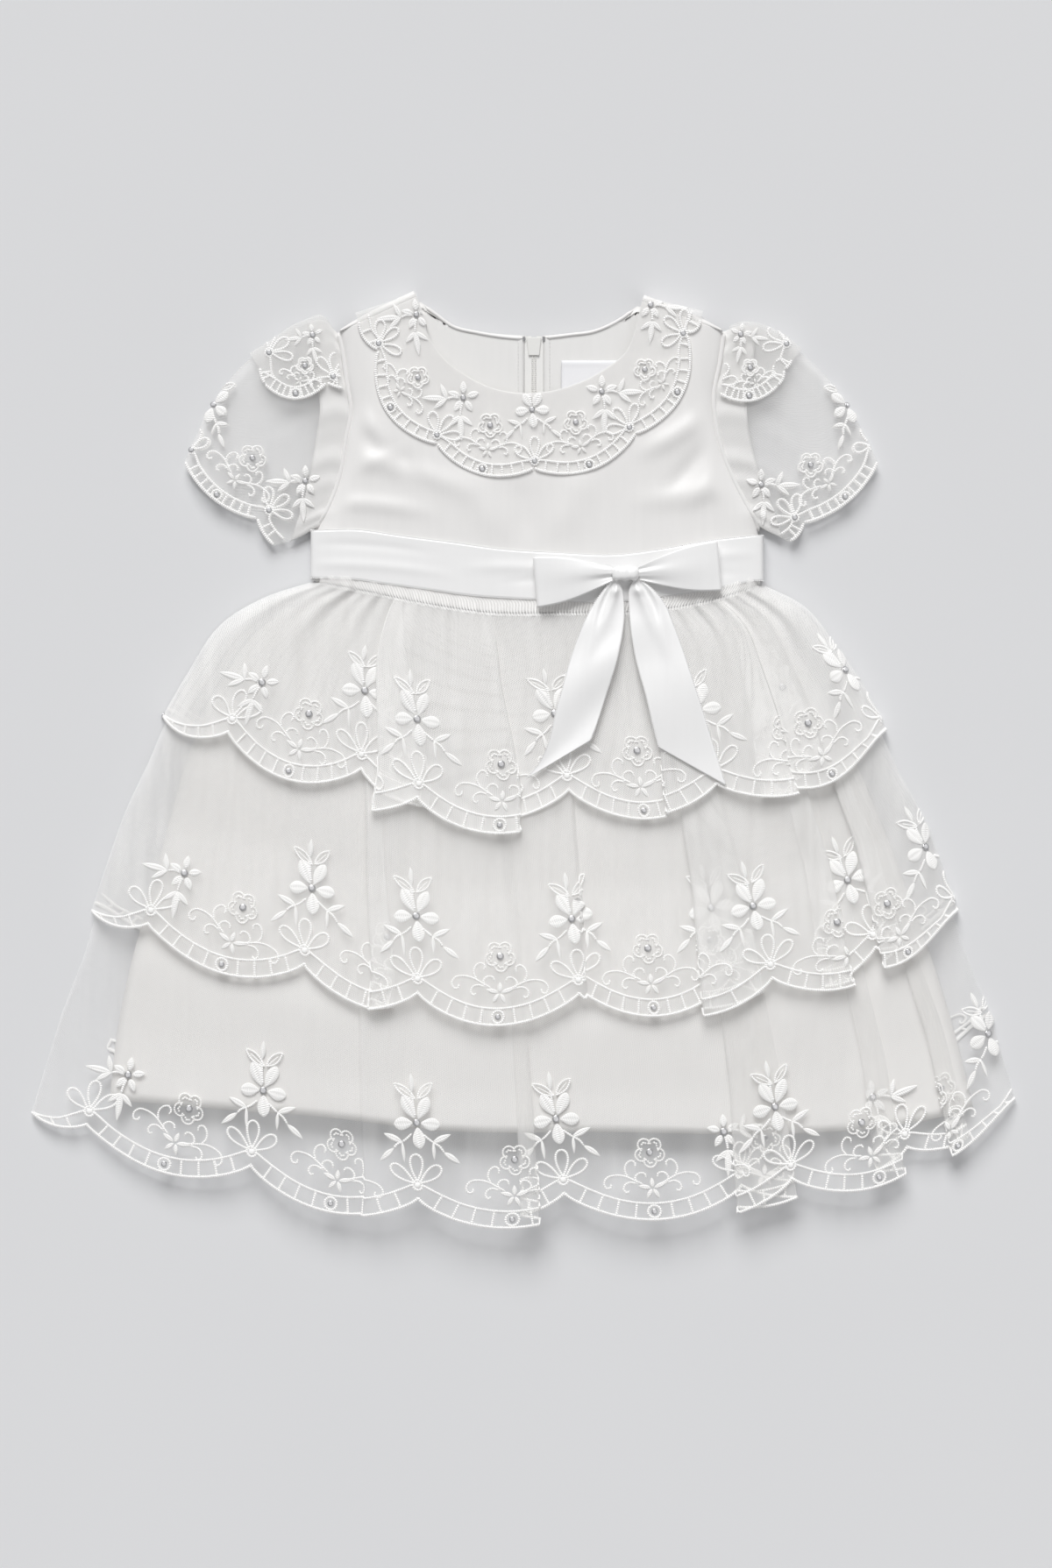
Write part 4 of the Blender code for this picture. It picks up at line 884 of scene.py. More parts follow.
def thread_paint(name, light, dark, painted_glow=0.0):
    """Rayon thread: glossy, with a grain as fine as its fibres. The painted glow is an emission that
    brightens it, standing for light that passes through.
    """
    # The emission below is a painted glow that keeps the thread bright whatever the shade on it.
    paint = Paint(
        name, Sheen_Weight=0.3, Sheen_Roughness=0.35, Specular_IOR_Level=0.5, Emission_Color=(*light, 1.0),
        Emission_Strength=painted_glow,
    )
    grain = paint.noise(0.45, 2.0)
    paint.feed("Base Color", paint.blend(grain, dark, light))
    paint.feed("Roughness", grain * 0.2 + 0.32)
    paint.bump(grain, 0.08)
    return paint.material


def stone_paint():
    """Foil-backed crystal: bright facets over a grey foil."""
    paint = Paint("crystal", Metallic=0.35, Roughness=0.08, Coat_Weight=1.0, Coat_Roughness=0.03)
    paint.feed("Base Color", paint.blend(paint.noise(1.6, 0.0), (0.84, 0.84, 0.86), (0.99, 0.99, 1.0)))
    return paint.material


def metal_paint():
    paint = Paint("claw_metal", Metallic=1.0)
    worn = paint.noise(0.8)
    paint.feed("Base Color", paint.blend(worn, (0.60, 0.60, 0.61), (0.78, 0.78, 0.79)))
    paint.feed("Roughness", worn * 0.15 + 0.22)
    return paint.material


def zip_paint(name, colour):
    """Woven zip tape or moulded slider: fine ribs along one way and a soft mottling."""
    paint = Paint(name, Specular_IOR_Level=0.4)
    mottle = paint.noise(1.2, 3.0)
    paint.feed("Base Color", paint.blend(mottle, [c * 0.965 for c in colour], colour))
    paint.feed("Roughness", mottle * 0.15 + 0.4)
    paint.bump(mottle, 0.05)
    return paint.material


def label_paint():
    """Close plain weave."""
    paint = Paint("label_weave", Roughness=0.65, Sheen_Weight=0.2)
    across, length = paint.cloth_way()
    weave = (across * (math.tau / 0.5)).sine() * (length * (math.tau / 0.5)).sine()
    paint.bump(weave * 0.5 + 0.5, 0.04)
    paint.feed("Base Color", paint.blend(paint.noise(2.0), (0.93, 0.93, 0.95), (0.96, 0.96, 0.975)))
    return paint.material


# ---- skirt
def skirt_plan(across, down):
    """Plan points of the skirt: across runs between the two side outlines, and rows sag in the middle."""
    left_x, left_y, right_x, right_y = np.moveaxis(spline(SKIRT_SIDES, down), -1, 0)
    share = (across + 1.0) / 2.0
    x = left_x + (right_x - left_x) * share
    y = left_y + (right_y - left_y) * share - spline(ROW_SAG, down) * spline(SAG_ACROSS, across)
    return np.stack([x, y], axis=-1)


def skirt_width(down):
    sides = spline(SKIRT_SIDES, down)
    return sides[..., 2] - sides[..., 0]


def across_of(x, down):
    """Where x lies between the side outlines, from -1 to 1."""
    return 2.0 * (x - spline(SKIRT_SIDES, down)[..., 0]) / skirt_width(down) - 1.0


def flare(down, end):
    """How much of the widening between waist and end has come by then, from 0 to 1."""
    waist = skirt_width(np.float64(0.0))
    return (skirt_width(down) - waist) / (skirt_width(np.float64(end)) - waist)


def plies_outside(tier, down):
    """How many tiers still lie outside this one, at that way down: it falls by one past each hem."""
    count = np.zeros_like(down)
    for other, sink in SINKS.items():
        if TIERS[other] < TIERS[tier]:
            count = count + np.interp(down, sink, (1.0, 0.0))
    return count


def back_height(tier, down):
    return WALL + PLY * plies_outside(tier, down)


def loft(across, down):
    """How far the fronts stand up: nothing at the waist and side seams, most in the middle of the hem."""
    shares = np.asarray(LOFT_ROWS)
    return LOFT * np.interp(down, shares[:, 0], shares[:, 1]) * (1.0 - np.clip(np.abs(across), 0.0, 1.0) ** 2)


def lining_height(down, front):
    return back_height("bottom", down) + PLY * (2 if front else 1)


def front_height(tier, down):
    """Height of a tier's front before its folds: clear of the folds of the tier beneath it."""
    height = lining_height(down, True) + PLY
    for beneath in TIERS:
        if TIERS[beneath] > TIERS[tier]:
            height = height + PLY + FOLD_RISE * np.interp(down, FOLD_STARTS[beneath], (0.0, 1.0))
    return height


def fold_path(tier):
    """Turning points along a tier's cloth: phase, hem x, waist x, lift and hem drop.

    The cloth that isn't seen between two panels lies folded beneath the raised one: from a low panel it runs
    on under the next and comes back higher up, from a raised one it first goes back under itself.
    """
    panels = TIER_PANELS[tier]
    waist_ends = [panel[2] for panel in panels[1:]] + [SKIRT_SIDES[0][3]]
    nodes = []
    for i, (left, right, waist, first, last, lifted, drop) in enumerate(panels):
        nodes.append((first, left, waist, lifted, drop))
        nodes.append((last, right, waist_ends[i], lifted, drop))
        if i + 1 == len(panels):
            break
        following, waist = panels[i + 1], waist_ends[i]
        hidden = following[3] - last
        if hidden < 2.0 * FOLD_TURN:
            nodes[-1] = (last - FOLD_TURN, right - FOLD_RUN / 2, waist, lifted, drop)
            panels = panels[: i + 1] + (
                (right + FOLD_RUN / 2, *following[1:3], following[3] + FOLD_TURN, *following[4:]),
            ) + panels[i + 2 :]
            continue
        both = lifted and following[5]
        reach = hidden * REPEAT * (0.25 if both else 0.5)
        tuck = reach * WAIST_TUCK
        if lifted:
            back = last + hidden * (0.25 if both else 0.5)
            nodes.append((last + FOLD_TURN / 2, right, waist, TURNED_LIFT, drop - HIDDEN_UP))
            nodes.append((back - FOLD_TURN / 2, right - reach, waist - tuck, TURNED_LIFT, drop - HIDDEN_UP))
            nodes.append((back, right - reach, waist - tuck, 0.0, drop - HIDDEN_UP))
        if following[5]:
            ahead = following[3] - hidden * (0.25 if both else 0.5)
            higher = min(drop, following[6]) - HIDDEN_UP
            nodes.append((ahead, right + reach, waist + tuck, 0.0, higher))
            nodes.append((ahead + FOLD_TURN / 2, right + reach, waist + tuck, TURNED_LIFT, higher))
            nodes.append((following[3] - FOLD_TURN / 2, right, waist, TURNED_LIFT, higher))
    return np.array(nodes)


def gathers(tier, waist_across, down):
    """Ridges that start at the waist seam and die out downwards."""
    uneven = waist_across + 0.11 * waist_across**2 + 0.012 * np.sin(9.0 * waist_across)
    height = 0.0
    for name, count, rise, reach in GATHERS:
        if name == tier:
            wave = 0.5 + 0.5 * np.cos(np.pi * count * uneven)
            height = height + rise * wave * (1.0 - smooth(0.3 * reach, reach, down))
    return height


def long_folds(tier, phase, down):
    """Soft folds that run with the cloth, each a bell shape across and fading at both its ends."""
    height = 0.0
    for name, middle, half_width, rise, start, end in LONG_FOLDS:
        if name == tier:
            bell = np.exp(-(((phase - middle) / half_width) ** 2))
            height = height + rise * bell * smooth(start, start + 0.4 * (end - start), down)
    return height


def hem_height(phase):
    """Y of the hem's outline on the flat cloth, where every cusp is at 0."""
    return -SCALLOP_DEPTH * round_arch(phase % 1.0)


def tier_front_place(tier):
    """Function from the flat cloth (x along the hem, y up from the cusps, mm) to the laid tier."""
    path = fold_path(tier)
    end = TIERS[tier]

    def place(x, y):
        phase = x / REPEAT
        hem_x, waist_x, lift, drop = [np.interp(phase, path[:, 0], path[:, i]) for i in range(1, 5)]
        hem_across = across_of(hem_x, np.full_like(hem_x, end))
        waist_across = across_of(waist_x, np.zeros_like(waist_x))
        corner = 1.0 - np.clip(np.abs(hem_across), 0.0, 1.0) ** 10
        down = end + (drop * corner - np.where(y < 0.0, y * corner, y)) / SKIRT_LENGTH
        across = waist_across + (hem_across - waist_across) * np.minimum(flare(down, end), 1.0)
        half_width = skirt_width(down) / 2.0
        edge = np.maximum(1.0 - np.abs(across), 0.0) * half_width
        across = across * (1.0 - PLY_INSET * plies_outside(tier, down) / half_width)
        low = back_height(tier, down) + 2.0 * GAP
        ramp = np.interp(down, FOLD_STARTS[tier], (0.0, 1.0))
        height = front_height(tier, down) + lift * FOLD_RISE * (0.15 + 0.85 * ramp)
        height = height + gathers(tier, waist_across, down)
        height = height + long_folds(tier, phase, down) * (0.4 + 0.6 * lift)
        height = low + (height + loft(across, down) - low) * quarter(edge / SIDE_ROLL)
        return raised(skirt_plan(across, down), height - NET_DEPTH)

    return place, path


def tier_back_place(tier):
    """The same for a tier's back, which lies flat under everything, outer face down."""
    end, scallops = BACK_ENDS[tier], BACK_SCALLOPS[tier]

    def place(x, y):
        across = 1.0 - 2.0 * x / (scallops * REPEAT)
        down = end - BACK_SPREAD * np.where(y < 0.0, y * (1.0 - across**10), y) / SKIRT_LENGTH
        half_width = skirt_width(down) / 2.0
        across = across * (1.0 - PLY_INSET * plies_outside(tier, down) / half_width)
        return raised(skirt_plan(across, down), back_height(tier, down) - BACK_NET_DEPTH)

    return place


def tier_net(tier):
    """The net of one tier: gathered, folded front, which is returned, and flat back."""
    place, path = tier_front_place(tier)
    even = np.arange(path[0, 0], path[-1, 0], NET_COLUMN / REPEAT)
    apart = np.abs(even[:, None] - path[None, :, 0]).min(axis=1) > FOLD_TURN / 2.0
    phase = np.unique(np.concatenate([even[apart], path[:, 0]]))
    drop = np.interp(phase, path[:, 0], path[:, 4])
    rows = round(TIERS[tier] * SKIRT_LENGTH / NET_ROW)
    x = np.repeat(phase[None] * REPEAT, rows, axis=0)
    share = shares(rows)[:, None] ** 1.1
    hem = hem_height(phase)
    y = hem + (TIERS[tier] * SKIRT_LENGTH - 0.3 + drop - hem) * share
    front = grid_piece(
        f"net_{tier}_front", place(x, y), f"net_{tier}", np.stack([x, y], axis=-1), flip=True,
        replaces=[f"tier_{tier}_front"],
    )
    place = tier_back_place(tier)
    scallops = BACK_SCALLOPS[tier]
    phase = shares(scallops * BACK_COLUMNS + 1, 0.0, scallops)
    rows = round(TIERS[tier] * SKIRT_LENGTH / BACK_ROW)
    x = np.repeat(phase[None] * REPEAT, rows, axis=0)
    hem = hem_height(phase)
    top = BACK_ENDS[tier] * SKIRT_LENGTH / BACK_SPREAD - 5.0
    y = hem + (top - hem) * shares(rows)[:, None]
    grid_piece(
        f"net_{tier}_back", place(x, y), "net_back", np.stack([x, y], axis=-1), flip=True,
        replaces=[f"tier_{tier}_back"],
    )
    return front


def skirt_lining(front):
    """Satin underskirt, a little narrower and shorter than the lowest tier, with a turned-up hem."""
    across, share = shares(85, -1.0, 1.0)[None, :], shares(65)[:, None]
    length = spline(LINING_HEM, across) - (0.0 if front else 0.01)
    down = 0.006 + (length - 0.006) * share
    half_width = skirt_width(down) / 2.0
    left, right = np.moveaxis(spline(LINING_INSET, down), -1, 0)
    side = (across + 1.0) / 2.0
    moved = (across * half_width + left * (1.0 - side) - right * side) / half_width
    hem_way = (length - down) * SKIRT_LENGTH
    hem_fold = 0.25 * (1.0 - smooth(LINING_HEM_WIDTH - 0.6, LINING_HEM_WIDTH + 0.6, hem_way))
    waves = 0.35 * np.sin(11.0 * across + 3.0 * down) * smooth(0.1, 0.6, down)
    height = lining_height(down, front) - 0.4 + hem_fold + waves * (1.0 if front else 0.2)
    height = height + (loft(moved, down) if front else 0.0)
    plan = skirt_plan(moved, down)
    uv = np.stack([np.broadcast_to(across * 260.0, down.shape), down * SKIRT_LENGTH], axis=-1)
    name = "front" if front else "back"
    grid_piece(
        f"lining_{name}", raised(plan, height), "lining", uv, flip=not front, wall=0.4,
        replaces=[f"skirt_lining_{name}"],
    )


# ---- bodice
def waist_seam(u):
    """The bodice's lower edge: the skirt's top row, moved up by the seam's gap."""
    left, right = SIDE_AND_ARMHOLE["right"][0][0], SIDE_AND_ARMHOLE["left"][0][0]
    x = left + (right - left) * np.asarray(u)
    return skirt_plan(across_of(x, np.zeros_like(x)), np.zeros_like(x)) + [0.0, WAIST_GAP]


def bodice_surface(u, v):
    """Front of the bodice over its two shares: rolled down at the sides and shoulders, flat at the neck."""
    arms = SIDE_AND_ARMHOLE["right"], SIDE_AND_ARMHOLE["left"]

    def reach_of(share):
        """From -1 to 0 over one shoulder, to 1 along the neck and to 2 over the other shoulder."""
        return np.interp(share, [0.0, SHOULDER, 1.0 - SHOULDER, 1.0], [-1.0, 0.0, 1.0, 2.0])

    def top(share):
        reach = reach_of(share)[..., None]
        neck = along(NECK_FRONT, np.clip(reach[..., 0], 0.0, 1.0))
        left_run, right_run = arms[0][-1] - np.array(NECK_FRONT[0]), arms[1][-1] - np.array(NECK_FRONT[-1])
        return neck + np.clip(-reach, 0.0, 1.0) * left_run + np.clip(reach - 1.0, 0.0, 1.0) * right_run

    def flat(u, v):
        return patch(waist_seam, top, *arms, u, v)

    plan, top_u = flat(u, v), reach_of(u)
    width = np.linalg.norm(flat(np.ones_like(u), v) - flat(np.zeros_like(u), v), axis=-1)
    side_edge = np.minimum(u, 1.0 - u) * width
    top_edge = np.linalg.norm(plan - flat(u, np.ones_like(v)), axis=-1)
    side_low = 2.0 * PLY + (SLEEVE_HIGH - WALL - 2.0 * PLY) * smooth(UNDERARM, UNDERARM + UNDERARM_STEP, v)
    on_shoulder = 1.0 - smooth(-0.06, 0.02, np.minimum(top_u, 1.0 - top_u))
    top_low = BODICE_TOP - 0.2 * on_shoulder
    side_height = side_low + (BODICE_TOP - side_low) * quarter(side_edge / SIDE_TURN)
    top_height = top_low + (BODICE_TOP - top_low) * quarter(top_edge / SHOULDER_TURN)
    inside = smooth(*CREASE_SIDE, side_edge) * smooth(*CREASE_TOP, top_edge)
    height = np.minimum(side_height, top_height) + creases(plan, BODICE_CREASES) * inside - SATIN_DEPTH
    return raised(plan, height)


def bodice_front():
    """The bodice's front, with a few more lines beside the edges that roll down."""
    u = np.unique(np.concatenate([shares(121), [0.002, 0.005, 0.01, 0.99, 0.995, 0.998]]))
    v = np.unique(np.concatenate([shares(91), [0.993, 0.997]]))
    points = bodice_surface(*np.meshgrid(u, v, indexing="ij"))
    grid_piece(
        "bodice_front_satin", points, "satin", points[..., :2], flip=True, wall=0.5, replaces=["bodice_front"]
    )


def seam(name, path, radius):
    """Rounded edge of satin: circles round the path, which shrink to a point over three rows at each end."""
    turn = round_turn(12)
    tangent = unit(np.gradient(path, axis=0))
    side = unit(np.cross(tangent, [0.0, 0.0, 1.0]))
    up = np.cross(side, tangent)
    ends = np.minimum(np.arange(len(path)), np.arange(len(path))[::-1])
    size = radius * np.clip(ends / 3.0, 0.0, 1.0)
    grid = (
        path[None]
        + side[None] * (np.cos(turn)[:, None] * size)[..., None]
        + up[None] * (np.sin(turn)[:, None] * size)[..., None]
    )
    grid_piece(name, grid, "satin", ring=True)


def bodice_seams():
    """The armhole seams along the bodice's own edges, the rolled edge of the back neck and the shoulders."""
    share = shares(160)
    for side, out in SIGN.items():
        arm = bodice_surface(np.full(160, max(out, 0.0)), UNDERARM + (1.0 - UNDERARM) * share)
        seam(f"armhole_seam_{side}", arm + [out * ARM_SEAM_OUT, 0.0, 0.0], ARM_SEAM)
        neck = along(NECK_BACK if side == "right" else NECK_BACK[::-1], 0.04 + 0.96 * share)
        neck = neck[(neck[:, 0] - CENTRE) * out > LINING_OPENING + 0.5]
        seam(f"back_neck_edge_{side}", raised(neck - [0.0, NECK_EDGE_DOWN], NECK_EDGE_HEIGHT), NECK_EDGE)
        shoulder(side)


def shoulder(side):
    """Turned-over shoulder inside the collar's fold: half a tube that narrows to the armhole."""
    neck, arm = np.array(NECK_FRONT[0 if side == "right" else -1]), np.array(SIDE_AND_ARMHOLE[side][-1])
    away = to_left(unit(arm - neck)) * SIGN[side]
    share = shares(40)
    radius = (COLLAR_TOP / 2.0 - 1.2) * (1.0 - 0.75 * share**3)
    out, up = folded_edge(14)
    plan = neck + (arm - neck) * share[None, :, None] + away * (radius * out[:, None])[..., None]
    grid = raised(plan, BODICE_TOP - 0.3 + radius * (up[:, None] - 1.0))
    grid_piece(f"shoulder_{side}", grid, "satin", flip=side == "left", wall=0.4)


def waist_band(skirt):
    """Gathered heading of the skirt's net, from under the sash down over the waist seam."""
    u = shares(321, 0.004, 0.996)
    line = waist_seam(u)
    low = line - np.column_stack([u * 0.0, BAND_BELOW * smooth(0.0, 0.03, np.minimum(u, 1.0 - u))])
    base = on_laid_cloth(skirt)[0](low)[0][:, 2] + 0.15
    share = shares(12)[:, None]
    plan = low[None] + np.array([0.0, 1.0]) * (BAND_BELOW + BAND_ABOVE) * share[..., None]
    height = base + (SASH_TOP - 0.9 - base) * (0.75 * share + 0.25 * smooth(0.0, 0.8, share))
    uneven = BAND_WAVES * u + 4.0 * np.sin(17.0 * u)
    pleats = BAND_PLEAT * np.cos(uneven) * np.sin(np.pi * np.minimum(share + 0.2, 1.0))
    grid_piece("waist_band", raised(plan, height + pleats), "net_top", flip=True)


def back_panel(side, name, opening, height, bottom_y, inset, finish):
    """Half of the back, from the side seam and armhole to the centre-back edge."""
    name, sign = f"{name}_{side}", SIGN[side]
    u, v = shares(50), shares(36)
    edge_x = CENTRE + sign * opening
    arm = along(SIDE_AND_ARMHOLE[side], v)
    arm[:, 0] -= sign * inset
    if bottom_y:
        arm = along(arm[arm[:, 1] >= bottom_y - 8.0], v)
        bottom = arm[0] + (np.array([edge_x, bottom_y]) - arm[0]) * u[:, None]
    else:
        x = arm[0, 0] + (edge_x - arm[0, 0]) * u
        bottom = skirt_plan(across_of(x, x * 0.0), x * 0.0) + [0.0, WAIST_GAP]
        arm[0] = bottom[0]
    neck = np.asarray(NECK_BACK)[:: int(-sign)]
    neck = neck[neck[:, 0] * sign > edge_x * sign + 2.0]
    neck = np.vstack([neck - [sign * min(inset, 2.0), 0.0], [[edge_x, NECK_CENTRE]]])
    t = np.clip((u - BACK_SHOULDER) / (1.0 - BACK_SHOULDER), 0.0, 1.0)
    fold = np.clip(1.0 - u / BACK_SHOULDER, 0.0, 1.0)[:, None]
    top = along(neck, t) + fold * (arm[-1] - neck[0])
    top[:, 1] -= (1.2 + 0.3 * inset) * (1.0 - t)
    arm[-1] = top[0]
    centre = np.column_stack([np.full_like(v, edge_x), np.linspace(bottom[-1, 1], top[-1, 1], len(v))])
    uu, vv = u[:, None, None], v[None, :, None]
    plan = (1 - uu) * arm[None] + uu * centre[None] + (1 - vv) * bottom[:, None] + vv * top[:, None]
    plan = plan - (1 - uu) * ((1 - vv) * bottom[0] + vv * top[0])
    plan = plan - uu * ((1 - vv) * bottom[-1] + vv * top[-1])
    way = np.abs(plan[..., 0] - edge_x)
    hem_fold = 0.2 * np.exp(-(((way - 2.2) / 1.2) ** 2)) - 0.5 * np.exp(-((way / 1.1) ** 2))
    grid_piece(
        f"{name}_cloth", raised(plan, height - 0.25 + hem_fold), finish, plan, flip=side == "left", wall=0.5,
        replaces=[name],
    )


# ---- collar, sleeves and their caps
def scalloped(cusps, t):
    """Points along a row of round scallops: straight chords between the cusps, each bulged to its right."""
    cusps = np.asarray(cusps, float)
    points, bulge = cusps[:, :2], cusps[:, 2]
    chords = np.diff(points, axis=0)
    lengths = np.linalg.norm(chords, axis=1)
    way = np.concatenate([[0.0], np.cumsum(lengths)]) / lengths.sum()
    t = np.asarray(t, float)
    i = np.clip(np.searchsorted(way, t, side="right") - 1, 0, len(chords) - 1)
    f = (t - way[i]) / (way[i + 1] - way[i])
    outward = -to_left(chords) / lengths[:, None]
    return points[i] + f[..., None] * chords[i] + (bulge[i] * round_arch(f))[..., None] * outward[i]


def collar_net():
    """Collar in one piece: flat over the front, round both shoulder folds and flat under the back."""
    wrap = COLLAR_TOP / 2.0
    t, share = shares(241), shares(26)[None, :, None]
    inner, outer = along(NECK_FRONT, 0.015 + 0.97 * t), scalloped(COLLAR_OUTLINE, t)
    plan = between(np.stack([inner, outer], axis=1), share)
    front = raised(plan, COLLAR_TOP + creases(plan, COLLAR_FOLDS) - NET_DEPTH)
    strips = [front]
    for side, sign in SIGN.items():
        fold_inner, fold_outer = (front[0] if side == "right" else front[-1])[[0, -1], :2]
        away = to_left((fold_outer - fold_inner) / np.linalg.norm(fold_outer - fold_inner)) * sign
        out, up = folded_edge(12)
        plan = np.stack([fold_inner, fold_outer])[None] + (wrap * out)[1:-1, None, None] * away
        wrapped = raised(plan, (wrap + (wrap - NET_DEPTH) * up)[1:-1, None])
        end_x = CENTRE + sign * COLLAR_OPENING
        neck = np.asarray(NECK_BACK)[:: int(-sign)]
        neck = neck[neck[:, 0] * sign > end_x * sign + 3.0][1:]
        neck = np.vstack([[fold_inner], neck, [[end_x, NECK_CENTRE]]])
        s = shares(60)
        outer_line = scalloped_line(np.vstack([[fold_outer], COLLAR_BACK[side][1:]]), s, 3, -sign * 6.0)
        under = raised(np.stack([along(neck, s), outer_line], axis=1), NET_DEPTH)
        extra = between(np.concatenate([wrapped, under]), share)
        strips = [extra[::-1]] + strips if side == "right" else strips + [extra]
    return grid_piece("collar_net", np.concatenate(strips), "net", flip=True, replaces=["collar"])


def scalloped_line(points, s, count, depth):
    """Smooth line through the points with scallops set inwards from it, so that none passes it."""
    line = along(points, s)
    run = np.gradient(line, s, axis=0)
    side = -to_left(run) / np.linalg.norm(run, axis=1)[:, None]
    return line + side * (depth * (1.0 - round_arch(s * count % 1.0)) * (1.0 - s**8))[:, None]


def turned_hem(side, edge, way):
    """Cusps of a sleeve's or cap's hem, with the bulges of its scallops turned outwards."""
    return [(x, y, way * SIGN[side] * bulge) for x, y, bulge in SLEEVES[side][edge]]


def sleeve_tube(side, turn, v):
    """Pressed-flat sleeve: turn is the angle round it (front up to a half turn) and v runs to the hem."""
    shape, hem = SLEEVES[side], turned_hem(side, "hem", -1.0)
    u = (1.0 - np.cos(turn)) / 2.0
    plan = patch(
        lambda share: along(shape["armhole"], share), lambda share: scalloped(hem, share),
        shape["top"], shape["under"], u, v,
    )
    rise = np.sin(turn)
    height = SLEEVE_MIDDLE + (SLEEVE_HIGH - SLEEVE_LOW) / 2.0 * np.sign(rise) * np.abs(rise) ** 0.6
    puff = sum(a * np.cos(n * turn + p) for n, a, p in SLEEVE_GATHERS) * (1.0 - smooth(0.0, 0.75, v))
    puff = puff + 0.5 * np.cos(5.0 * turn + 1.0) * smooth(0.2, 0.7, v)
    return raised(plan, height + puff * np.where(rise > 0.0, 1.0, 0.3) * np.abs(rise) - 0.2 * np.sign(rise))


def sleeve_net(side):
    grid = sleeve_tube(side, *np.meshgrid(round_turn(160), shares(34), indexing="ij"))
    name, solid = f"sleeve_net_{side}", f"sleeve_{side}"
    return grid_piece(name, grid, "sleeve_net", ring=True, flip=side == "right", replaces=[solid])


def armhole_facing(side):
    """Satin strip sewn round the inside of the armhole, seen through the sleeve's net."""
    turn, share = np.meshgrid(round_turn(120), shares(11, -0.25, 1.0), indexing="ij")
    u = (1.0 - np.cos(turn[:, 0])) / 2.0
    run = along(SLEEVES[side]["armhole"], u) - scalloped(turned_hem(side, "hem", -1.0), u)
    length = np.linalg.norm(run, axis=-1)
    grid = sleeve_tube(side, turn, share * (FACING / length)[:, None])
    grid[..., 2] = SLEEVE_MIDDLE + (grid[..., 2] - SLEEVE_MIDDLE) * 0.72
    grid_piece(f"armhole_facing_{side}", grid, "facing", ring=True, flip=side == "right", wall=0.3)


def sleeve_cap_net(side):
    """Short overlay at the top of the sleeve, wrapped over its upper fold."""
    v = shares(90)
    crest, hem = along(SLEEVES[side]["cap_top"], v), scalloped(turned_hem(side, "cap_hem", 1.0), v)
    across = (crest - hem) / np.linalg.norm(crest - hem, axis=-1)[..., None]
    radius = CAP_TOP / 2.0
    axis = crest - across * radius
    out, up = folded_edge(16)
    bend = axis[None] + across[None] * (radius * out)[:, None, None]
    bend = raised(bend, (radius + (radius - NET_DEPTH) * up)[:, None])
    front = raised(hem[None] + (axis - hem)[None] * shares(14)[:-1, None, None], CAP_TOP - NET_DEPTH)
    under = front[::-1].copy()
    under[..., 2] = NET_DEPTH
    grid = np.concatenate([front, bend, under])
    name, solid = f"sleeve_cap_net_{side}", f"sleeve_cap_{side}"
    return grid_piece(name, grid, "net", flip=side == "left", replaces=[solid])


# ---- sash and bow
def sash_ribbon():
    """Ribbon round the waist: across the front, round both sides and under the back to the zip."""
    wrap = SASH_TOP / 2.0
    t, share = shares(181), shares(SASH_COLUMNS)[None, :, None]
    lower, upper = along(SASH_LOWER, t), along(SASH_UPPER, t)
    span = (lower[-1, 0] - lower[0, 0] - 2.0 * wrap) / (lower[-1, 0] - lower[0, 0])
    middle = (lower[0, 0] + lower[-1, 0]) / 2.0
    for edge in (lower, upper):
        edge[:, 0] = middle + (edge[:, 0] - middle) * span
    front = between(raised(np.stack([lower, upper], axis=1), SASH_TOP - SATIN_DEPTH), share)
    front[..., 2] += creases(front[..., :2], SASH_FOLDS)
    strips = [front]
    for sign in SIGN.values():
        last = (front[0] if sign < 0 else front[-1])[[0, -1]]
        out, up = folded_edge(12)
        steps = np.column_stack([sign * wrap * out, out * 0.0, (wrap - SATIN_DEPTH) * (up - 1.0)])
        bend = (last[None] + steps[:, None])[1:]
        x = shares(50, last[0, 0], CENTRE + sign * COLLAR_OPENING)[1:]
        sag = 9.0 * (1.0 - ((x - CENTRE) / (last[0, 0] - CENTRE)) ** 2)
        low = np.full_like(x, bend[-1, 0, 2])
        under = np.stack([np.column_stack([x, last[i, 1] - sag, low]) for i in (0, 1)], axis=1)
        extra = between(np.concatenate([bend, under]), share)
        strips = [extra[::-1]] + strips if sign < 0 else strips + [extra]
    return grid_piece("sash_ribbon", np.concatenate(strips), "ribbon", wall=0.4, replaces=["sash"])


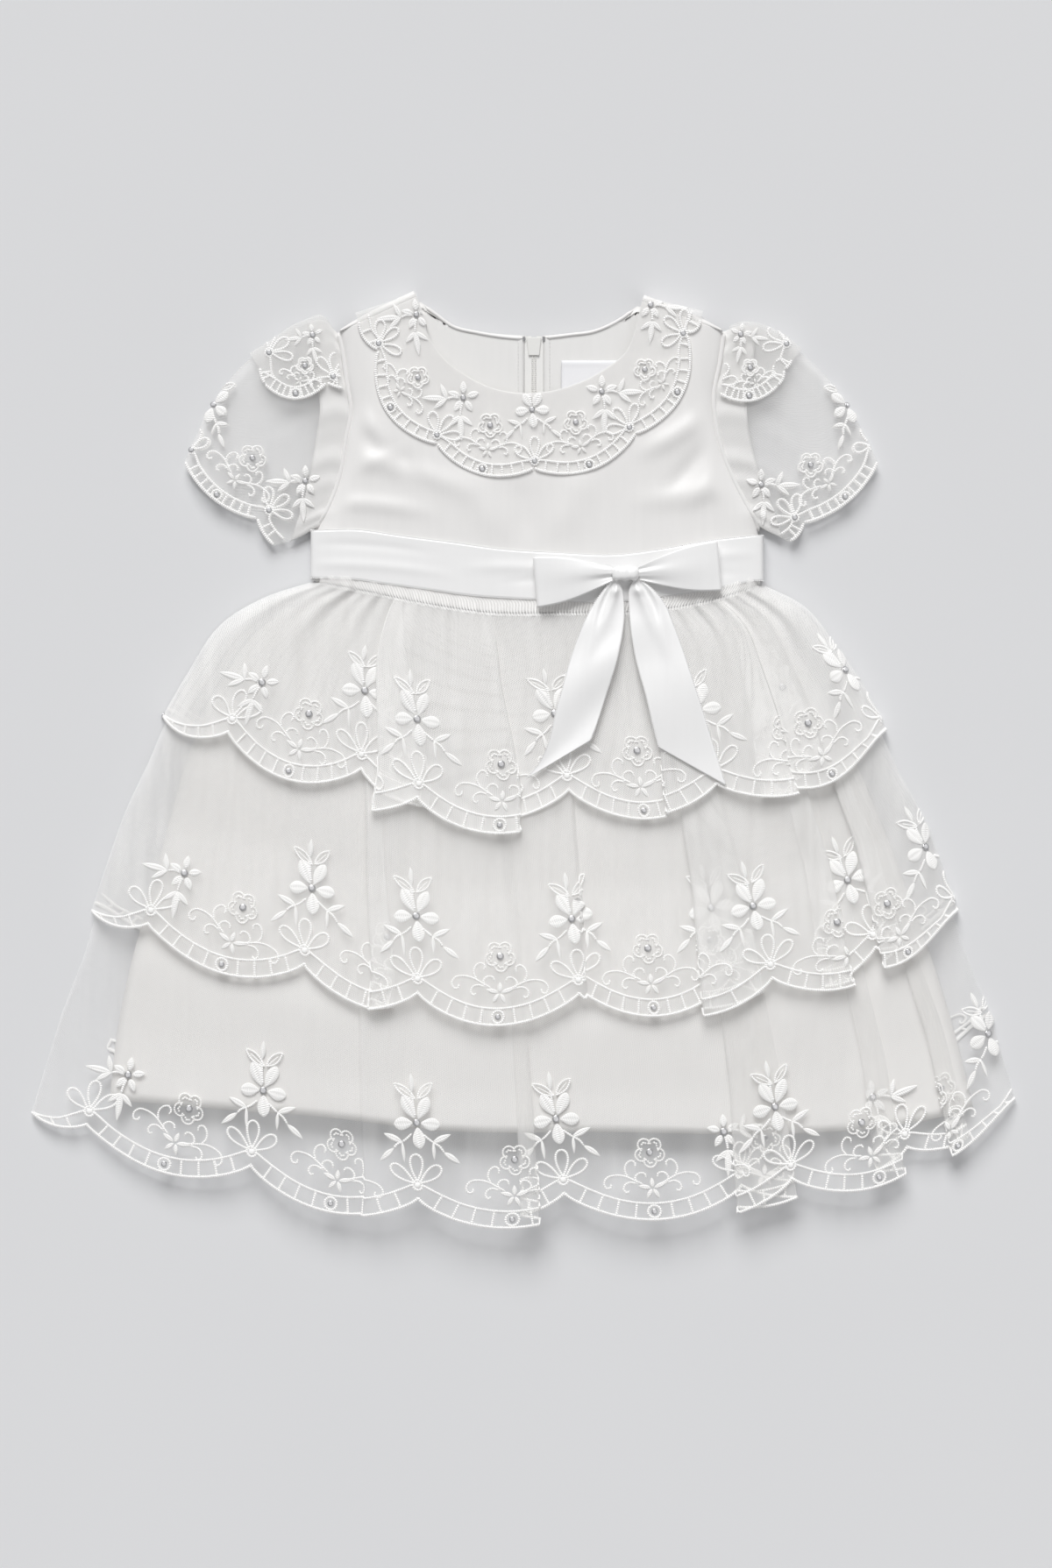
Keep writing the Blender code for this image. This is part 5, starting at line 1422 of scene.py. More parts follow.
def bow_loop(side):
    """Ribbon out along the bottom, round the far end and back on top, puffed, and pleated at the knot."""
    (near_x, near_y, half), upper, lower = LOOPS[side]
    near, far = np.array([[near_x, near_y - half], [near_x, near_y + half]]), np.array([lower, upper])
    way, share = shares(37)[:-1], shares(LOOP_COLUMNS)
    out = np.concatenate([way, np.ones(9), way[::-1]])
    turn = np.concatenate([np.full(36, -0.5), shares(9, -0.5, 0.5), np.full(36, 0.5)]) * np.pi
    radius = LOOP_RISE / 2.0
    reach = np.where(out >= 1.0, LOOP_REACH + (1.0 - LOOP_REACH) * np.cos(turn), out * LOOP_REACH)
    bell = reach[:, None] ** 0.8
    near_line = near[0] + (near[1] - near[0]) * share[:, None]
    far_line = far[0] + (far[1] - far[0]) * share[:, None]
    bulge = LOOP_BULGE * np.sin(np.pi * reach)[:, None] * np.sign(share - 0.5) * np.abs(2 * share - 1.0) ** 2
    plan = near_line[None] + (far_line - near_line)[None] * bell[..., None]
    length_way = (far_line - near_line).mean(axis=0)
    cross = to_left(length_way) * SIGN[side]
    plan = plan + bulge[..., None] * cross * 0.45
    up = np.sin(turn)[:, None]
    puff = LOOP_PUFF + LOOP_SWELL * np.sin(np.pi * bell) * np.sin(np.pi * share)[None] ** 0.7
    puff = puff * (LOOP_PINCH + (1.0 - LOOP_PINCH) * smooth(0.0, 0.3, reach))[:, None]
    pleats = sum(
        rise * np.cos(math.tau * count * share[None] + turned) * np.exp(-reach[:, None] / fade)
        for count, rise, turned, fade in LOOP_PLEATS[side]
    )
    height = BOW_FLOOR + radius + radius * up * puff + pleats * np.where(up > 0.0, 1.0, 0.15) + 0.3
    grid = raised(plan, np.maximum(height, BOW_FLOOR))
    name, solid = f"bow_loop_ribbon_{side}", f"bow_loop_{side}"
    return grid_piece(name, grid, "ribbon", flip=side == "right", wall=0.35, replaces=[solid])


def bow_knot():
    """The wrap round the bow's middle: a puffed roll whose folds run across the ribbon."""
    turn, side = np.meshgrid(round_turn(64), shares(27, -1.0, 1.0), indexing="ij")
    swell = (1.0 - np.abs(side) ** 5) ** 0.35
    swell[:, 0] = swell[:, -1] = 0.0
    fold = 1.0 + 0.06 * np.cos(9.0 * side + 0.8 * np.sin(turn)) * swell
    fold = fold + 0.03 * np.cos(3.0 * turn + 2.0 * side)
    y, z = [
        np.sign(way) * np.abs(way) ** 0.8 * size / 2.0 * swell * fold
        for way, size in zip((np.cos(turn), np.sin(turn)), KNOT_SIZE[1:])
    ]
    x = side * KNOT_SIZE[0] / 2.0 + 0.06 * y
    grid = np.stack([x + KNOT[0], y + KNOT[1], z + BOW_FLOOR + KNOT_SIZE[2] / 2.0], axis=-1)
    grid_piece("bow_knot_ribbon", grid, "ribbon", ring=True, replaces=["bow_knot"])


def bow_tail(side):
    """Hanging end of the bow's ribbon: arched over its middle near the knot, wavy further down."""
    t, share = shares(115), shares(TAIL_COLUMNS)[None, :]
    plan = between(np.stack([along(edge, t) for edge in TAILS[side]], axis=1), share[..., None])
    height = spline(TAIL_HEIGHT, plan[..., 1])
    t = t[:, None]
    arch = sum(
        rise * np.exp(-(((share - middle - drift * t) / width) ** 2)) * (1.0 - smooth(0.0, fade, t))
        for middle, drift, width, rise, fade in TAIL_FOLDS[side]
    )
    arch = arch * smooth(0.0, 0.09, t)
    middle = 0.5 - 0.12 * SIGN[side]
    for rise, width, spot, length in TAIL_DENTS:
        arch = arch + rise * np.exp(-(((share - middle) / width) ** 2) - ((t - spot) / length) ** 2)
    wave = TAIL_WAVE * np.sin(math.tau * (1.6 * t + 0.35 * share) + (0.0 if side == "left" else 1.3))
    grid = raised(plan, height + arch + wave * smooth(0.2, 0.5, t) - SATIN_DEPTH)
    name, solid = f"bow_tail_ribbon_{side}", f"bow_tail_{side}"
    return grid_piece(name, grid, "ribbon", wall=0.35, replaces=[solid])


# ---- zip and label
def zip_and_label():
    """Finishes the carried-over zip solids, and lays the blank label with its turned ends."""
    for name, stuff in ZIP_PARTS.items():
        mesh = bpy.data.objects[name].data
        mesh.materials.clear()
        mesh.materials.append(stuff)
    left, right, bottom, top = LABEL
    x, y = np.meshgrid(shares(30, left, right), shares(25, bottom, top), indexing="ij")
    edge = np.minimum(np.minimum(x - left, right - x), np.minimum(y - bottom, top - y))
    turned = LABEL_TURNING * (1.0 - smooth(2.2, 2.8, np.minimum(y - bottom, top - y)))
    curl = LABEL_CURL * ((x - (left + right) / 2.0) / (right - left) * 2.0) ** 2
    height = 4.0 * PLY + 0.25 + 0.3 * quarter(edge / 0.6) + turned * 0.5 + curl
    grid = np.stack([x, y, height], axis=-1)
    grid_piece("neck_label_cloth", grid, "label", grid[..., :2], flip=True, wall=0.3, replaces=["neck_label"])


# ---- embroidery
def moved(points, x=0.0, y=0.0, size=1.0, turn=0.0, mirror=False):
    """Motif points scaled, mirrored about their own y, turned (degrees) and put at x, y."""
    points = np.asarray(points, float) * size
    if mirror:
        points = points * [-1.0, 1.0]
    c, s = math.cos(math.radians(turn)), math.sin(math.radians(turn))
    return points @ np.array([[c, s], [-s, c]]) + [x, y]


def evenly(points, step):
    """The polyline's points again, evenly spaced by about the step."""
    way = way_along(points)
    count = max(3, round(way[-1] / step) + 1)
    at = np.linspace(0.0, way[-1], count)
    return np.column_stack([np.interp(at, way, points[:, 0]), np.interp(at, way, points[:, 1])])


CORD_SECTION = np.array([(math.cos(a), math.sin(a)) for a in np.arange(0.5, 6.0) * math.pi / 3.0])
UNDER_STITCHES = (0.3, BEAD, CORD_SECTION[[0, 1, 3, 4]])  # flatter, coarser work on what faces the table
PETAL_SECTION = np.array(
    [(1.0, 0.0), (0.8, 0.55), (0.42, 1.0), (0.0, 0.74), (-0.42, 1.0), (-0.8, 0.55), (-1.0, 0.0), (0.0, -0.12)]
)

# radii, then heights, of small turned shapes
CUP_PROFILE = np.array([[1.55, 2.0, 1.95, 1.5], [0.0, 0.2, 0.95, 1.0]])
STONE_PROFILE = np.array([[1.5, 1.5, 1.0, 0.65], [0.5, 0.9, 1.35, 1.4]])
KNOT_PROFILE = np.array([[0.55, 1.0, 0.5], [-0.2, 0.5, 1.3]])
PEARL_RADII, PEARL_HEIGHTS = np.array([1.0, 0.92, 0.6, 0.2]), np.array([0.0, 0.45, 0.85, 0.95])


def on_flat_cloth(place, low, high):
    """Ways to lay flat points by a function from flat cloth to laid cloth that has low < x < high."""

    def inside(flat):
        return (flat[..., 0] >= low) & (flat[..., 0] <= high)

    def laid(flat):
        x, y = np.clip(flat[..., 0], low + NEAR, high - NEAR), flat[..., 1]
        along_x = place(x + NEAR, y) - place(x - NEAR, y)
        along_y = place(x, y + NEAR) - place(x, y - NEAR)
        return place(flat[..., 0], y), unit(np.cross(along_x, along_y)), unit(along_x)

    return laid, inside


def on_laid_cloth(cloth, side=1.0):
    """Ways to lay plan points on cloth: dropped on it from above, or from below where side is -1."""
    corners = [vertex.co / MM for vertex in cloth.data.vertices]
    tree = BVHTree.FromPolygons(corners, [tuple(face.vertices) for face in cloth.data.polygons])

    def dropped(flat):
        way = Vector((0.0, 0.0, -side))
        hits = [tree.ray_cast(Vector((x, y, 100.0 * side)), way) for x, y in flat]
        found = np.array([hit[0] is not None for hit in hits])
        points = np.array([hit[0] or (x, y, 0.0) for hit, (x, y) in zip(hits, flat)])
        normals = np.array([hit[1] or (0.0, 0.0, side) for hit in hits])
        return points, normals * np.where(normals[:, 2:] * side < 0.0, -1.0, 1.0), found

    def inside(flat):
        return dropped(flat)[2]

    def laid(flat):
        points, normal, _ = dropped(flat)
        forward = unit(np.cross(np.cross(normal, [1.0, 0.0, 0.0]), normal))
        return points, normal, forward

    return laid, inside


class Stitching:
    """Embroidery drawn in millimetres on the flat cloth or on the plan, and carried onto the laid cloth."""

    def __init__(self, laid, inside, relief=1.0, step=BEAD / 2.0, section=CORD_SECTION):
        self.laid, self.inside, self.relief = laid, inside, relief
        self.step, self.section = step, section
        self.thread, self.petals, self.stones, self.claws = Heap(), Heap(), Heap(), Heap()
        self.strands = []

    def at(self, x, y, size=1.0, turn=0.0):
        """Function that puts a motif's points at x, y, undistorted once it is laid."""
        ends = self.laid(np.array([[x - 2.0, y], [x + 2.0, y]]))[0]
        stretch = min(max(np.linalg.norm(ends[1] - ends[0]) / 4.0, 0.6), 1.3)

        def put(points, mirror=False):
            return moved(points, 0.0, 0.0, size, turn, mirror) * [1.0 / stretch, 1.0] + [x, y]

        return put

    def note(self, points, width, height, section, swell, slant=0.0, closed=False):
        """Notes a strand: its flat path, half widths and heights per point, section and beading."""
        self.strands.append((points, width, height, section, swell, slant, closed))

    def sew(self, place, normal, width, height, section, swell, slant, closed):
        """Carries a section along laid points: it swells once every BEAD and its ends are closed."""
        if closed:
            tangent = np.roll(place, -1, axis=0) - np.roll(place, 1, axis=0)
        else:
            tangent = np.gradient(place, axis=0)
        across = unit(np.cross(normal, tangent))
        way = np.arange(len(place)) * self.step / BEAD
        swollen = 1.0 + swell * np.cos(math.tau * (way[None] + slant * np.abs(section[:, :1])))
        ring = (
            place[None]
            + across[None] * (section[:, :1] * width[None] * (1.0 if slant else swollen))[..., None]
            + normal[None] * ((section[:, 1:] * swollen + SUNK) * height[None] * self.relief)[..., None]
        )
        count, length = ring.shape[:2]
        if closed:
            ring = np.concatenate([ring, ring[:, :1]], axis=1)
            self.thread.add(ring, halves(grid_faces(count, length + 1, ring=True)))
            return
        heap = self.petals if slant else self.thread
        heap.add(ring, rod_faces(count, length))

    def cord(self, points, radius=CORD, closed=False):
        """Beaded cord along a path. What runs off the cloth is cut away."""
        points = evenly(np.asarray(points, float), self.step)
        if closed:
            points = points[:-1]
        keep = self.inside(points)
        if closed and keep.all():
            width = np.full(len(points), radius)
            self.note(points, width, width * CORD_RISE, self.section, CORD_SWELL, closed=True)
            return
        for piece in np.split(np.arange(len(points)), np.flatnonzero(np.diff(keep.astype(int))) + 1):
            if keep[piece[0]] and len(piece) > 3:
                ends = np.minimum(np.arange(len(piece)), np.arange(len(piece))[::-1])
                width = radius * np.clip(0.35 + 0.45 * ends, 0.0, 1.0)
                self.note(points[piece], width, width * CORD_RISE, self.section, CORD_SWELL)

    def petal(self, base, tip, width, fullness=0.45, blunt=0.8):
        """Satin-stitched petal from base to tip: two swollen halves beside a groove, ridged by its stitches.
        One that would run off the cloth is worked shorter, or left out."""
        base, tip = np.asarray(base, float), np.asarray(tip, float)
        s = shares(40)[:, None]
        for share in (1.0, 0.84, 0.7):
            points = evenly(base + (tip - base) * share * s, self.step)
            if self.inside(points).all():
                break
        else:
            return
        s = shares(len(points))
        shape = np.sin(np.pi * s ** (math.log(0.5) / math.log(fullness))) ** blunt
        shape = np.clip(shape, 0.03, 1.0)
        half = shape * width / 2.0
        height = np.minimum(PETAL_HEIGHT, 0.45 * width) * shape**0.6
        self.note(points, half, height, PETAL_SECTION, PETAL_SWELL, slant=0.6)

    def lathe(self, heap, centres, radii, heights, sides):
        """Small turned shapes on the cloth: rings of the given radii and heights about each centre."""
        centres = np.asarray(centres, float).reshape(-1, 2)
        centres = centres[self.inside(centres)]
        if not len(centres):
            return
        place, normal, forward = self.laid(centres)
        other = np.cross(normal, forward)
        angle = (np.arange(sides) * math.tau / sides)[None, :, None]
        radii, heights = np.asarray(radii), np.asarray(heights)
        circle = forward[:, None, :] * np.cos(angle) + other[:, None, :] * np.sin(angle)
        shape = (
            place[:, None, None, :]
            + circle[:, :, None, :] * radii[None, None, :, None]
            + normal[:, None, None, :] * (heights * self.relief)[None, None, :, None]
        )
        heap.add(shape, many(rod_faces(sides, len(radii)), len(centres), sides * len(radii)))

    def knots(self, centres, radius):
        self.lathe(self.thread, centres, *(radius * KNOT_PROFILE), 5)

    def crystal(self, centres, size=1.0):
        """Cut stones in their claw cups."""
        self.lathe(self.claws, centres, *(size * CUP_PROFILE), 12)
        self.lathe(self.stones, centres, *(size * STONE_PROFILE), 8)

    def pearl(self, centres, radius):
        """Padded round spot of satin stitch."""
        self.lathe(self.thread, centres, radius * PEARL_RADII, PEARL_HEIGHTS, 14)

    def finish(self, name):
        """Makes the garment part's thread, stones and cups."""
        place, normal, _ = self.laid(np.concatenate([strand[0] for strand in self.strands]))
        ends = np.cumsum([len(strand[0]) for strand in self.strands])
        for end, (points, *sizes) in zip(ends, self.strands):
            part = slice(end - len(points), end)
            self.sew(place[part], normal[part], *sizes)
        self.thread.finish(f"embroidery_{name}", "thread")
        self.petals.finish(f"petals_{name}", "petal")
        self.stones.finish(f"crystals_{name}", "stone")
        self.claws.finish(f"crystal_cups_{name}", "claw", smooth_faces=True)


def ladder(work, edge, ends, parts, size=1.0):
    """Inner cord of one scallop, between the two ends, with rungs out to the edge and a ringed crystal in the
    middle of a full one. The edge has the cloth on its left."""
    run = unit(np.gradient(edge, axis=0))
    inner = edge + to_left(run) * BORDER * size
    way = way_along(edge) / way_along(edge)[-1]
    picks = np.array([0.12, 0.22, 0.35, 0.5, 0.65, 0.78, 0.88])
    middle = np.column_stack([np.interp(picks, way, inner[:, i]) for i in (0, 1)])
    curve = along(np.vstack([ends[:1], middle, ends[1:]]), shares(161))
    work.cord(curve)
    for part in range(1, parts):
        at = np.array([np.interp(part / parts, way, edge[:, i]) for i in (0, 1)])
        rung = np.vstack([at, curve[np.argmin(np.linalg.norm(curve - at, axis=1))]])
        if part == FULL_LADDER // 2:
            spot = rung.mean(axis=0)
            work.cord(spot + round_ring(LADDER_RING * size), closed=True)
            work.crystal([spot], SMALL_CRYSTAL)
        else:
            work.cord(rung)


def border(work, place, low, high):
    """Hem of one scallop after another on flat cloth."""
    first, last = low / REPEAT, high / REPEAT
    cusps = np.arange(math.ceil(first), math.floor(last) + 1)
    phase = np.unique(np.concatenate([shares(60 * len(cusps) + 120, first, last), cusps]))
    work.cord(np.column_stack([phase * REPEAT, hem_height(phase)]), OUTER_CORD)
    f = shares(201)
    edge = np.column_stack([f * REPEAT, hem_height(f)])
    ends = np.array([[KNOT_RING, KNOT_Y], [REPEAT - KNOT_RING, KNOT_Y]])
    for n in range(math.floor(first), math.ceil(last)):
        middle = (n + 0.5) * REPEAT
        chord = np.linalg.norm(np.diff(place(middle + np.array([-40.0, 40.0]), np.zeros(2)), axis=0))
        shift = [n * REPEAT, 0.0]
        ladder(work, edge + shift, ends + shift, FULL_LADDER if chord > 25.0 else FOLDED_LADDER)


def plan_border(work, cusps, bows, reverse=False):
    """Hem along a table of cusps in plan, with the cloth to its left, or to its right if reversed."""
    f = shares(101)
    knots = np.array([bow[:2] for bow in bows])
    for start, end in zip(cusps[:-1], cusps[1:]):
        bulge = start[2]
        if reverse:
            start, end = end, start
        edge = scalloped([(*start[:2], bulge), (*end[:2], 0.0)], f)
        work.cord(edge + to_left(unit(np.gradient(edge, axis=0))) * 0.8, OUTER_CORD)
        chord = edge[-1] - edge[0]
        inward = to_left(chord) / np.linalg.norm(chord)
        ends = []
        for corner, way in ((edge[0], 1.0), (edge[-1], -1.0)):
            apart = np.linalg.norm(knots - corner, axis=1)
            knot = knots[np.argmin(apart)]
            if apart.min() < 12.0:
                ends.append(knot + way * unit(chord) * KNOT_RING * SMALL)
            else:
                ends.append(corner + inward * BORDER * SMALL)
        full = np.linalg.norm(chord) > 30.0
        ladder(work, edge, np.array(ends), FULL_LADDER if full else SHORT_LADDER, SMALL)


def round_ring(radius, count=40):
    angle = shares(count, 0.0, math.tau)
    return radius * np.column_stack([np.cos(angle), np.sin(angle)])


def teardrop(length, width, turn):
    """Closed loop from a point: along its axis (1 - cos a)/2, across sin a times that to the 0.6."""
    angle = shares(60, 0.0, math.tau)
    way = (1.0 - np.cos(angle)) / 2.0
    return moved(np.column_stack([length * way, width / 2.0 * 1.25 * np.sin(angle) * way**0.6]), turn=turn)


def cusp_bow(work, x, y, directions=(90.0, 38.0, 147.0), size=1.0, stone=False):
    """Looped bow over a cusp, tied with a padded knot or a crystal."""
    at = work.at(x, y)
    for (length, width), turn in zip(BOW_LOOPS, directions):
        work.cord(at((teardrop(length, width, turn) + heading(turn) * 1.7) * size), closed=True)
    work.cord(at(round_ring(KNOT_RING * size)), closed=True)
    if stone:
        work.crystal([[x, y]], SMALL_CRYSTAL)
    else:
        work.pearl([[x, y]], 1.7 * size)


def big_spray(work, x, y, size=1.0, turn=0.0, crystal=1.0, mirror=False):
    """Five-petalled flower with a spike above and leafy branches to both sides."""
    at = work.at(x, y, size, turn)
    for tip, wide in SPRAY_PETALS:
        start = tip / np.linalg.norm(tip) * 2.3
        work.petal(*at([start, tip], mirror), wide * size, fullness=0.58, blunt=0.6)
    for path in SPRAY_STEMS:
        work.cord(along(at(path, mirror), shares(30)))
    for base, tip, wide in SPRAY_LEAVES:
        work.petal(*at([base, tip], mirror), wide * size)
    for base, tip, wide in SPRAY_OUTLINES:
        base, tip = np.array(base), np.array(tip)
        run = tip - base
        work.cord(at(lens(np.linalg.norm(run), wide, angle_of(run)) + base, mirror), FINE_CORD, closed=True)
        work.cord(at([base, base + run * 0.75], mirror), 0.3)
    work.crystal(at([[0.0, 0.0]]), crystal)


def lens(length, width, turn):
    """Closed outline of a leaf, pointed at both ends."""
    s = np.concatenate([shares(24), shares(24, 1.0, 0.0)])
    side = np.concatenate([np.ones(24), -np.ones(24)])
    return moved(np.column_stack([length * s, side * width / 2.0 * np.sin(np.pi * s) ** 0.8]), turn=turn)


def small_spray(work, x, y, size=1.0, turn=0.0, crystal=1.0, mirror=False):
    """Small narrow-petalled flower with a leafy branch to one side and another below."""
    at = work.at(x, y, size, turn)
    for angle in STAR_ANGLES:
        out = heading(angle)
        work.petal(*at([out * 2.0, out * 8.6], mirror), 3.6 * size)
    for path in STAR_STEMS:
        work.cord(along(at(path, mirror), shares(30)))
    for base, tip, wide in STAR_LEAVES:
        work.petal(*at([base, tip], mirror), wide * size)
    work.crystal(at([[0.0, 0.0]]), crystal)


def mid_scallop(work, ring, flower, crystal=1.0):
    """Small flower above a scallop's ringed crystal, scrolls to both sides and a flower of knots beyond."""
    ring, flower = np.asarray(ring, float), np.asarray(flower, float)
    way = flower - ring
    size = np.linalg.norm(way) / MIDDLE_LENGTH
    spot = ring + way * MIDDLE_RING / MIDDLE_LENGTH
    at = work.at(*spot, size, angle_of(way) - 90.0)
    for base, tip, wide in MIDDLE_PETALS:
        work.petal(*at([base, tip]), wide * size)
    for mirror in (False, True):
        for path in MIDDLE_SCROLLS:
            work.cord(along(at(path, mirror), shares(60)), FINE_CORD)
    knotted_flower(work, *flower, min(size + 0.1, 1.0), crystal)


def knotted_flower(work, x, y, size=1.0, crystal=1.0):
    """Five lobes drawn with knots and filled with a few more, round a crystal."""
    spots = []
    for angle in (126.0, 54.0, -18.0, -90.0, 198.0):
        bend = np.radians(angle + shares(13, -112.0, 112.0))
        centre = 4.8 * heading(angle)
        spots.append(centre + 3.4 * np.column_stack([np.cos(bend), np.sin(bend)]))
        spots.append(centre + 1.3 * np.column_stack([np.cos(bend[2:-2:3]), np.sin(bend[2:-2:3])]))
    work.knots(work.at(x, y, size)(np.concatenate(spots)), 0.66)
    work.crystal([[x, y]], crystal)


def tier_embroidery(tier):
    """Embroidery along one tier's hem, front and back. Its sprays lean towards the middle of the skirt."""
    place, path = tier_front_place(tier)
    low, high = path[0, 0] * REPEAT, path[-1, 0] * REPEAT
    work = Stitching(*on_flat_cloth(place, low, high))
    border(work, place, low, high)
    for n in range(9):
        x = n * REPEAT
        if not low - 40.0 < x < high + 40.0:
            continue
        hem_x = place(np.array([min(max(x, low), high)]), np.zeros(1))[0, 0]
        lean = -LEAN * (hem_x - CENTRE)
        if low <= x <= high:
            cusp_bow(work, x, KNOT_Y)
        if n in STAR_SPRAYS[tier]:
            small_spray(work, x + 2.0 * lean, STAR_Y, STAR_SIZE, mirror=hem_x > 0.0)
        else:
            big_spray(work, x - 1.0 + lean, SPRAY_Y)
        middle = x + REPEAT / 2.0
        mid_scallop(work, (middle, RING_Y), (middle + lean, FLOWER_Y))
    work.finish(f"{tier}_front")
    high = BACK_SCALLOPS[tier] * REPEAT
    place = tier_back_place(tier)
    tucked = TUCKED if tier == "bottom" else 0.0
    work = Stitching(*on_flat_cloth(place, 0.0, high - tucked), *UNDER_STITCHES)
    border(work, place, 0.0, high)
    for n in range(1, BACK_SCALLOPS[tier]):
        cusp_bow(work, n * REPEAT, KNOT_Y)
        big_spray(work, n * REPEAT, SPRAY_Y)
        mid_scallop(work, ((n - 0.5) * REPEAT, RING_Y), ((n - 0.5) * REPEAT, FLOWER_Y))
    work.finish(f"{tier}_back")


def plan_embroidery(name, cloth, cusps, bows, sprays, middles, reverse=False, under=False):
    """Embroidery of a collar, sleeve or cap: border, bows, sprays and the motifs inside its scallops."""
    if under:
        work = Stitching(*on_laid_cloth(cloth, -1.0), *UNDER_STITCHES)
    else:
        work = Stitching(*on_laid_cloth(cloth), 0.9)
    plan_border(work, cusps, bows, reverse)
    for x, y, *directions in bows:
        cusp_bow(work, x, y, directions, SMALL, stone=True)
    for spray, x, y, size, turn, mirror in sprays:
        draw = big_spray if spray == "big" else small_spray
        draw(work, x, y, size, turn, SMALL_CRYSTAL, mirror)
    for ring_x, ring_y, flower_x, flower_y in middles:
        mid_scallop(work, (ring_x, ring_y), (flower_x, flower_y), SMALL_CRYSTAL)
    work.finish(name + ("_under" if under else ""))


# finish: its material and its slot
FINISH = {
    "net": (net_paint("bobbin_net", -0.55, 0.5, 0.04), "tulle"),
    "sleeve_net": (net_paint("sleeve_bobbin_net", -0.8, 0.45, 0.02, cell=1.08), "tulle"),
    # The top and middle tier nets carry a painted glow (their last number), an emission that brightens them.
    "net_top": (net_paint("top_tier_net", 0.0, 0.6, 0.09, 1.4, 0.045), "tulle"),
    "net_middle": (net_paint("middle_tier_net", -0.35, 0.6, 0.05, 1.2, 0.02), "tulle"),
    "net_bottom": (net_paint("bottom_tier_net", -0.85, 0.45, 0.015, 0.7, cell=1.08), "tulle"),
    "net_back": (net_paint("back_net", -1.3, 0.4, 0.0, 0.6, cell=1.08), "tulle"),
    "satin": (satin_paint("bodice_satin", (0.91, 0.899, 0.886), (0.87, 0.86, 0.847), 0.34), "satin"),
    "lining": (satin_paint("lining_satin", (0.88, 0.867, 0.85), (0.85, 0.838, 0.82), 0.5), "lining"),
    "facing": (satin_paint("facing_satin", (0.85, 0.843, 0.833), (0.81, 0.803, 0.793), 0.5), "lining"),
    "neck_lining": (
        satin_paint("neck_lining_satin", (0.90, 0.893, 0.878), (0.86, 0.853, 0.838), 0.42), "lining",
    ),
    "ribbon": (
        satin_paint("ribbon_satin", (0.98, 0.978, 0.974), (0.95, 0.948, 0.944), 0.29, 0.36, 0.8), "ribbon",
    ),
    # The embroidery and petal threads carry a painted glow (their last number), an emission that brightens
    # them.
    "thread": (thread_paint("embroidery_thread", (1.0, 0.995, 0.985), (0.94, 0.933, 0.92), 0.05), "tulle"),
    "petal": (thread_paint("petal_thread", (0.985, 0.978, 0.965), (0.91, 0.903, 0.89), 0.02), "tulle"),
    "picot": (thread_paint("picot_thread", (0.95, 0.945, 0.94), (0.88, 0.875, 0.87)), "ribbon"),
    "stone": (stone_paint(), "metal"),
    "claw": (metal_paint(), "metal"),
    "coil": (zip_paint("zip_tape_weave", (0.915, 0.91, 0.89)), "zip"),
    "label": (label_paint(), "label"),
}
STOP_METAL = metal_paint()
ZIP_PARTS = {
    "zip_tape": FINISH["coil"][0],
    "zip_slider": zip_paint("painted_slider", (0.885, 0.88, 0.855)),
    "zip_pull": zip_paint("painted_pull", (0.875, 0.87, 0.85)),
    "zip_stop_right": STOP_METAL,
    "zip_stop_left": STOP_METAL,
}


def beads(name, lines, radius, pitch, finish, slot=None):
    """Eight-faced beads along lines of points: stitches, the loops of a ribbon's edges, a zip's coil."""
    heap = Heap()
    corners = np.array([[1, 0, 0], [0, 1, 0], [-1, 0, 0], [0, -1, 0], [0, 0, 1], [0, 0, -1]], float) * radius
    faces = np.array([[0, 1, 4], [1, 2, 4], [2, 3, 4], [3, 0, 4], [1, 0, 5], [2, 1, 5], [3, 2, 5], [0, 3, 5]])
    for line in lines:
        line = np.asarray(line)
        way = way_along(line)
        at = np.arange(0.5, way[-1], pitch)
        spots = np.column_stack([np.interp(at, way, line[:, i]) for i in range(3)])
        heap.add(spots[:, None] + corners[None], many(faces, len(at), len(corners)))
    heap.finish(name, finish, slot=slot)


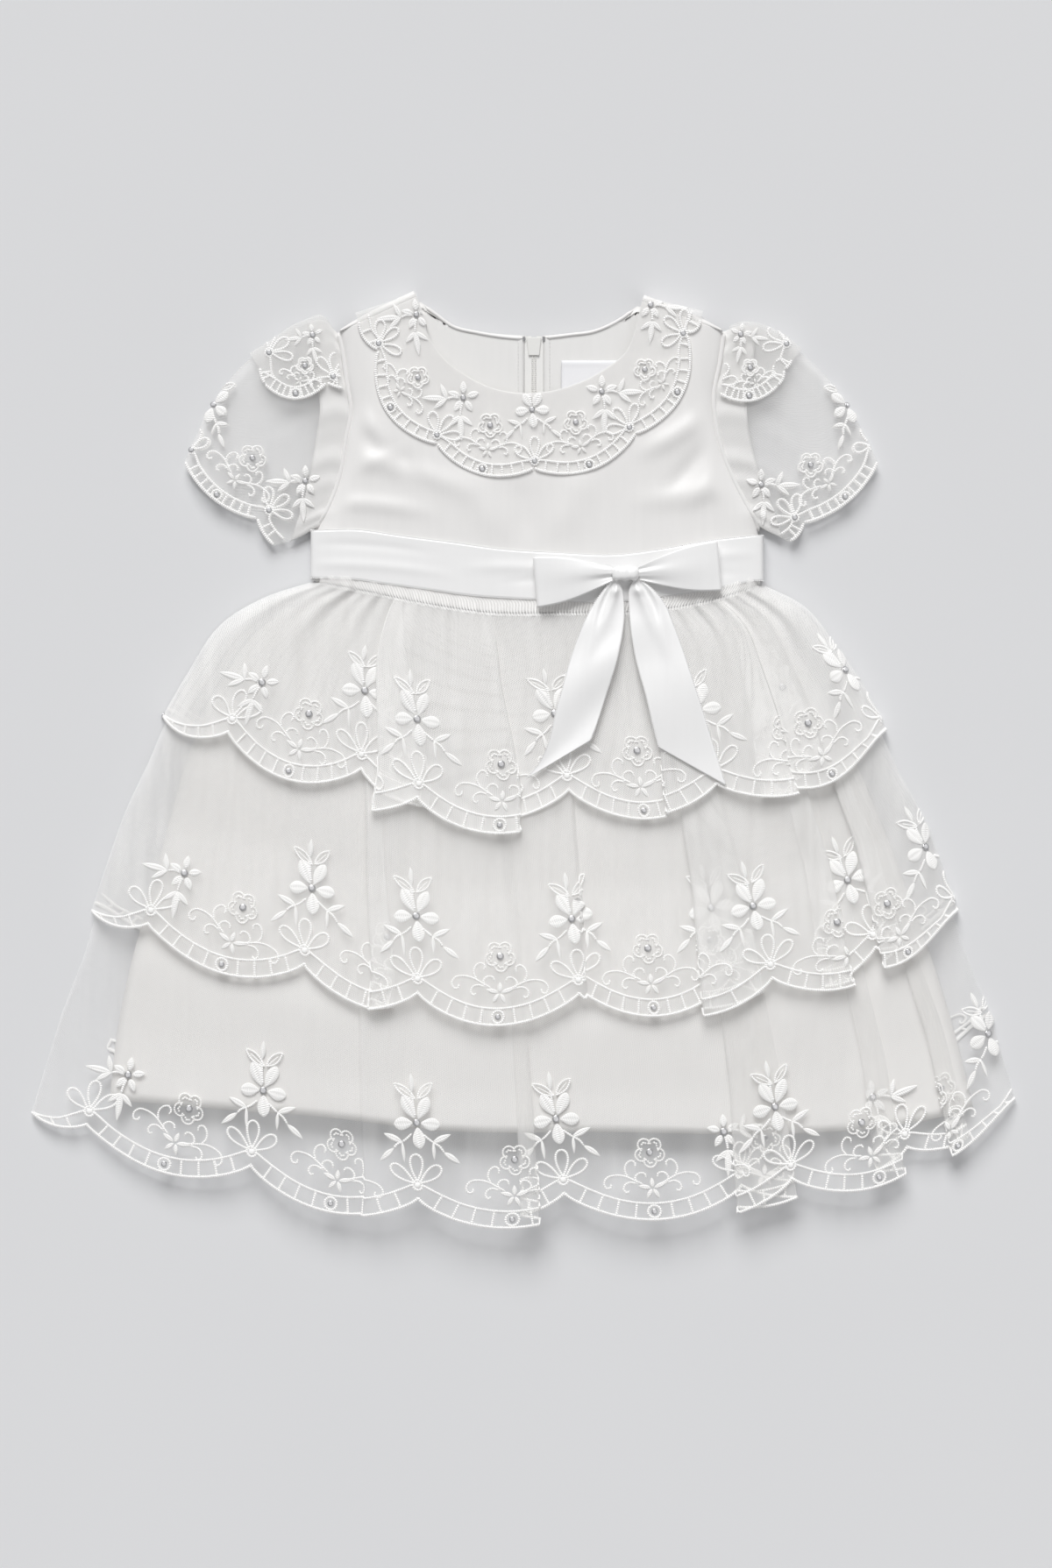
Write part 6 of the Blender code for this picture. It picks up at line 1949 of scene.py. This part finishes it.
def picots(ribbon, columns):
    """The tiny loops along both edges of a ribbon whose grid has that many columns."""
    points = np.empty(len(ribbon.data.vertices) * 3)
    ribbon.data.vertices.foreach_get("co", points)
    grid = points.reshape(-1, columns, 3) / MM
    beads(f"picots_{ribbon.name}", [grid[:, 0], grid[:, -1]], PICOT, PICOT_PITCH, "picot")


def zip_details():
    """Coil of the zip below its slider, and the rows of stitches along its tapes."""
    coil = [[[CENTRE + x, y, ZIP_FACE] for y in COIL_Y] for x in COIL_X]
    beads("zip_coil", coil, np.array([0.7, 0.42, 0.45]), 0.85, "coil")
    rows = [[[CENTRE + x, y, STITCH_HEIGHT] for y in (STITCH_TOP, LINING_BOTTOM)] for x in STITCH_X]
    beads("zip_stitches", rows, np.array([0.22, 0.6, 0.2]), 2.0, "picot", "lining")


def main():
    camera_and_light()
    tiers = {tier: tier_net(tier) for tier in TIERS}
    for front in (True, False):
        skirt_lining(front)
    bodice_front()
    for panel in BACK_PANELS:
        for side in SLEEVES:
            back_panel(side, *panel)
    collar = collar_net()
    sleeves = {side: sleeve_net(side) for side in SLEEVES}
    for side in SLEEVES:
        armhole_facing(side)
    caps = {side: sleeve_cap_net(side) for side in SLEEVES}
    ribbons = [(sash_ribbon(), SASH_COLUMNS)] + [(bow_loop(side), LOOP_COLUMNS) for side in SLEEVES]
    bow_knot()
    ribbons += [(bow_tail(side), TAIL_COLUMNS) for side in SLEEVES]
    zip_and_label()
    for tier in TIERS:
        tier_embroidery(tier)
    plan_embroidery("collar", collar, COLLAR_OUTLINE, COLLAR_BOWS, COLLAR_SPRAYS, COLLAR_MIDDLES)
    for side, shape in SLEEVES.items():
        drawn = SLEEVE_BOWS[side], SLEEVE_SPRAYS[side], SLEEVE_MIDDLES[side]
        for under in (False, True):
            plan_embroidery(f"sleeve_{side}", sleeves[side], shape["hem"], *drawn, side == "left", under)
        drawn = CAP_BOWS[side], CAP_SPRAYS[side], CAP_MIDDLES[side]
        plan_embroidery(f"cap_{side}", caps[side], shape["cap_hem"], *drawn, side == "right")
    for ribbon, columns in ribbons:
        picots(ribbon, columns)
    bodice_seams()
    waist_band(tiers["top"])
    zip_details()


main()
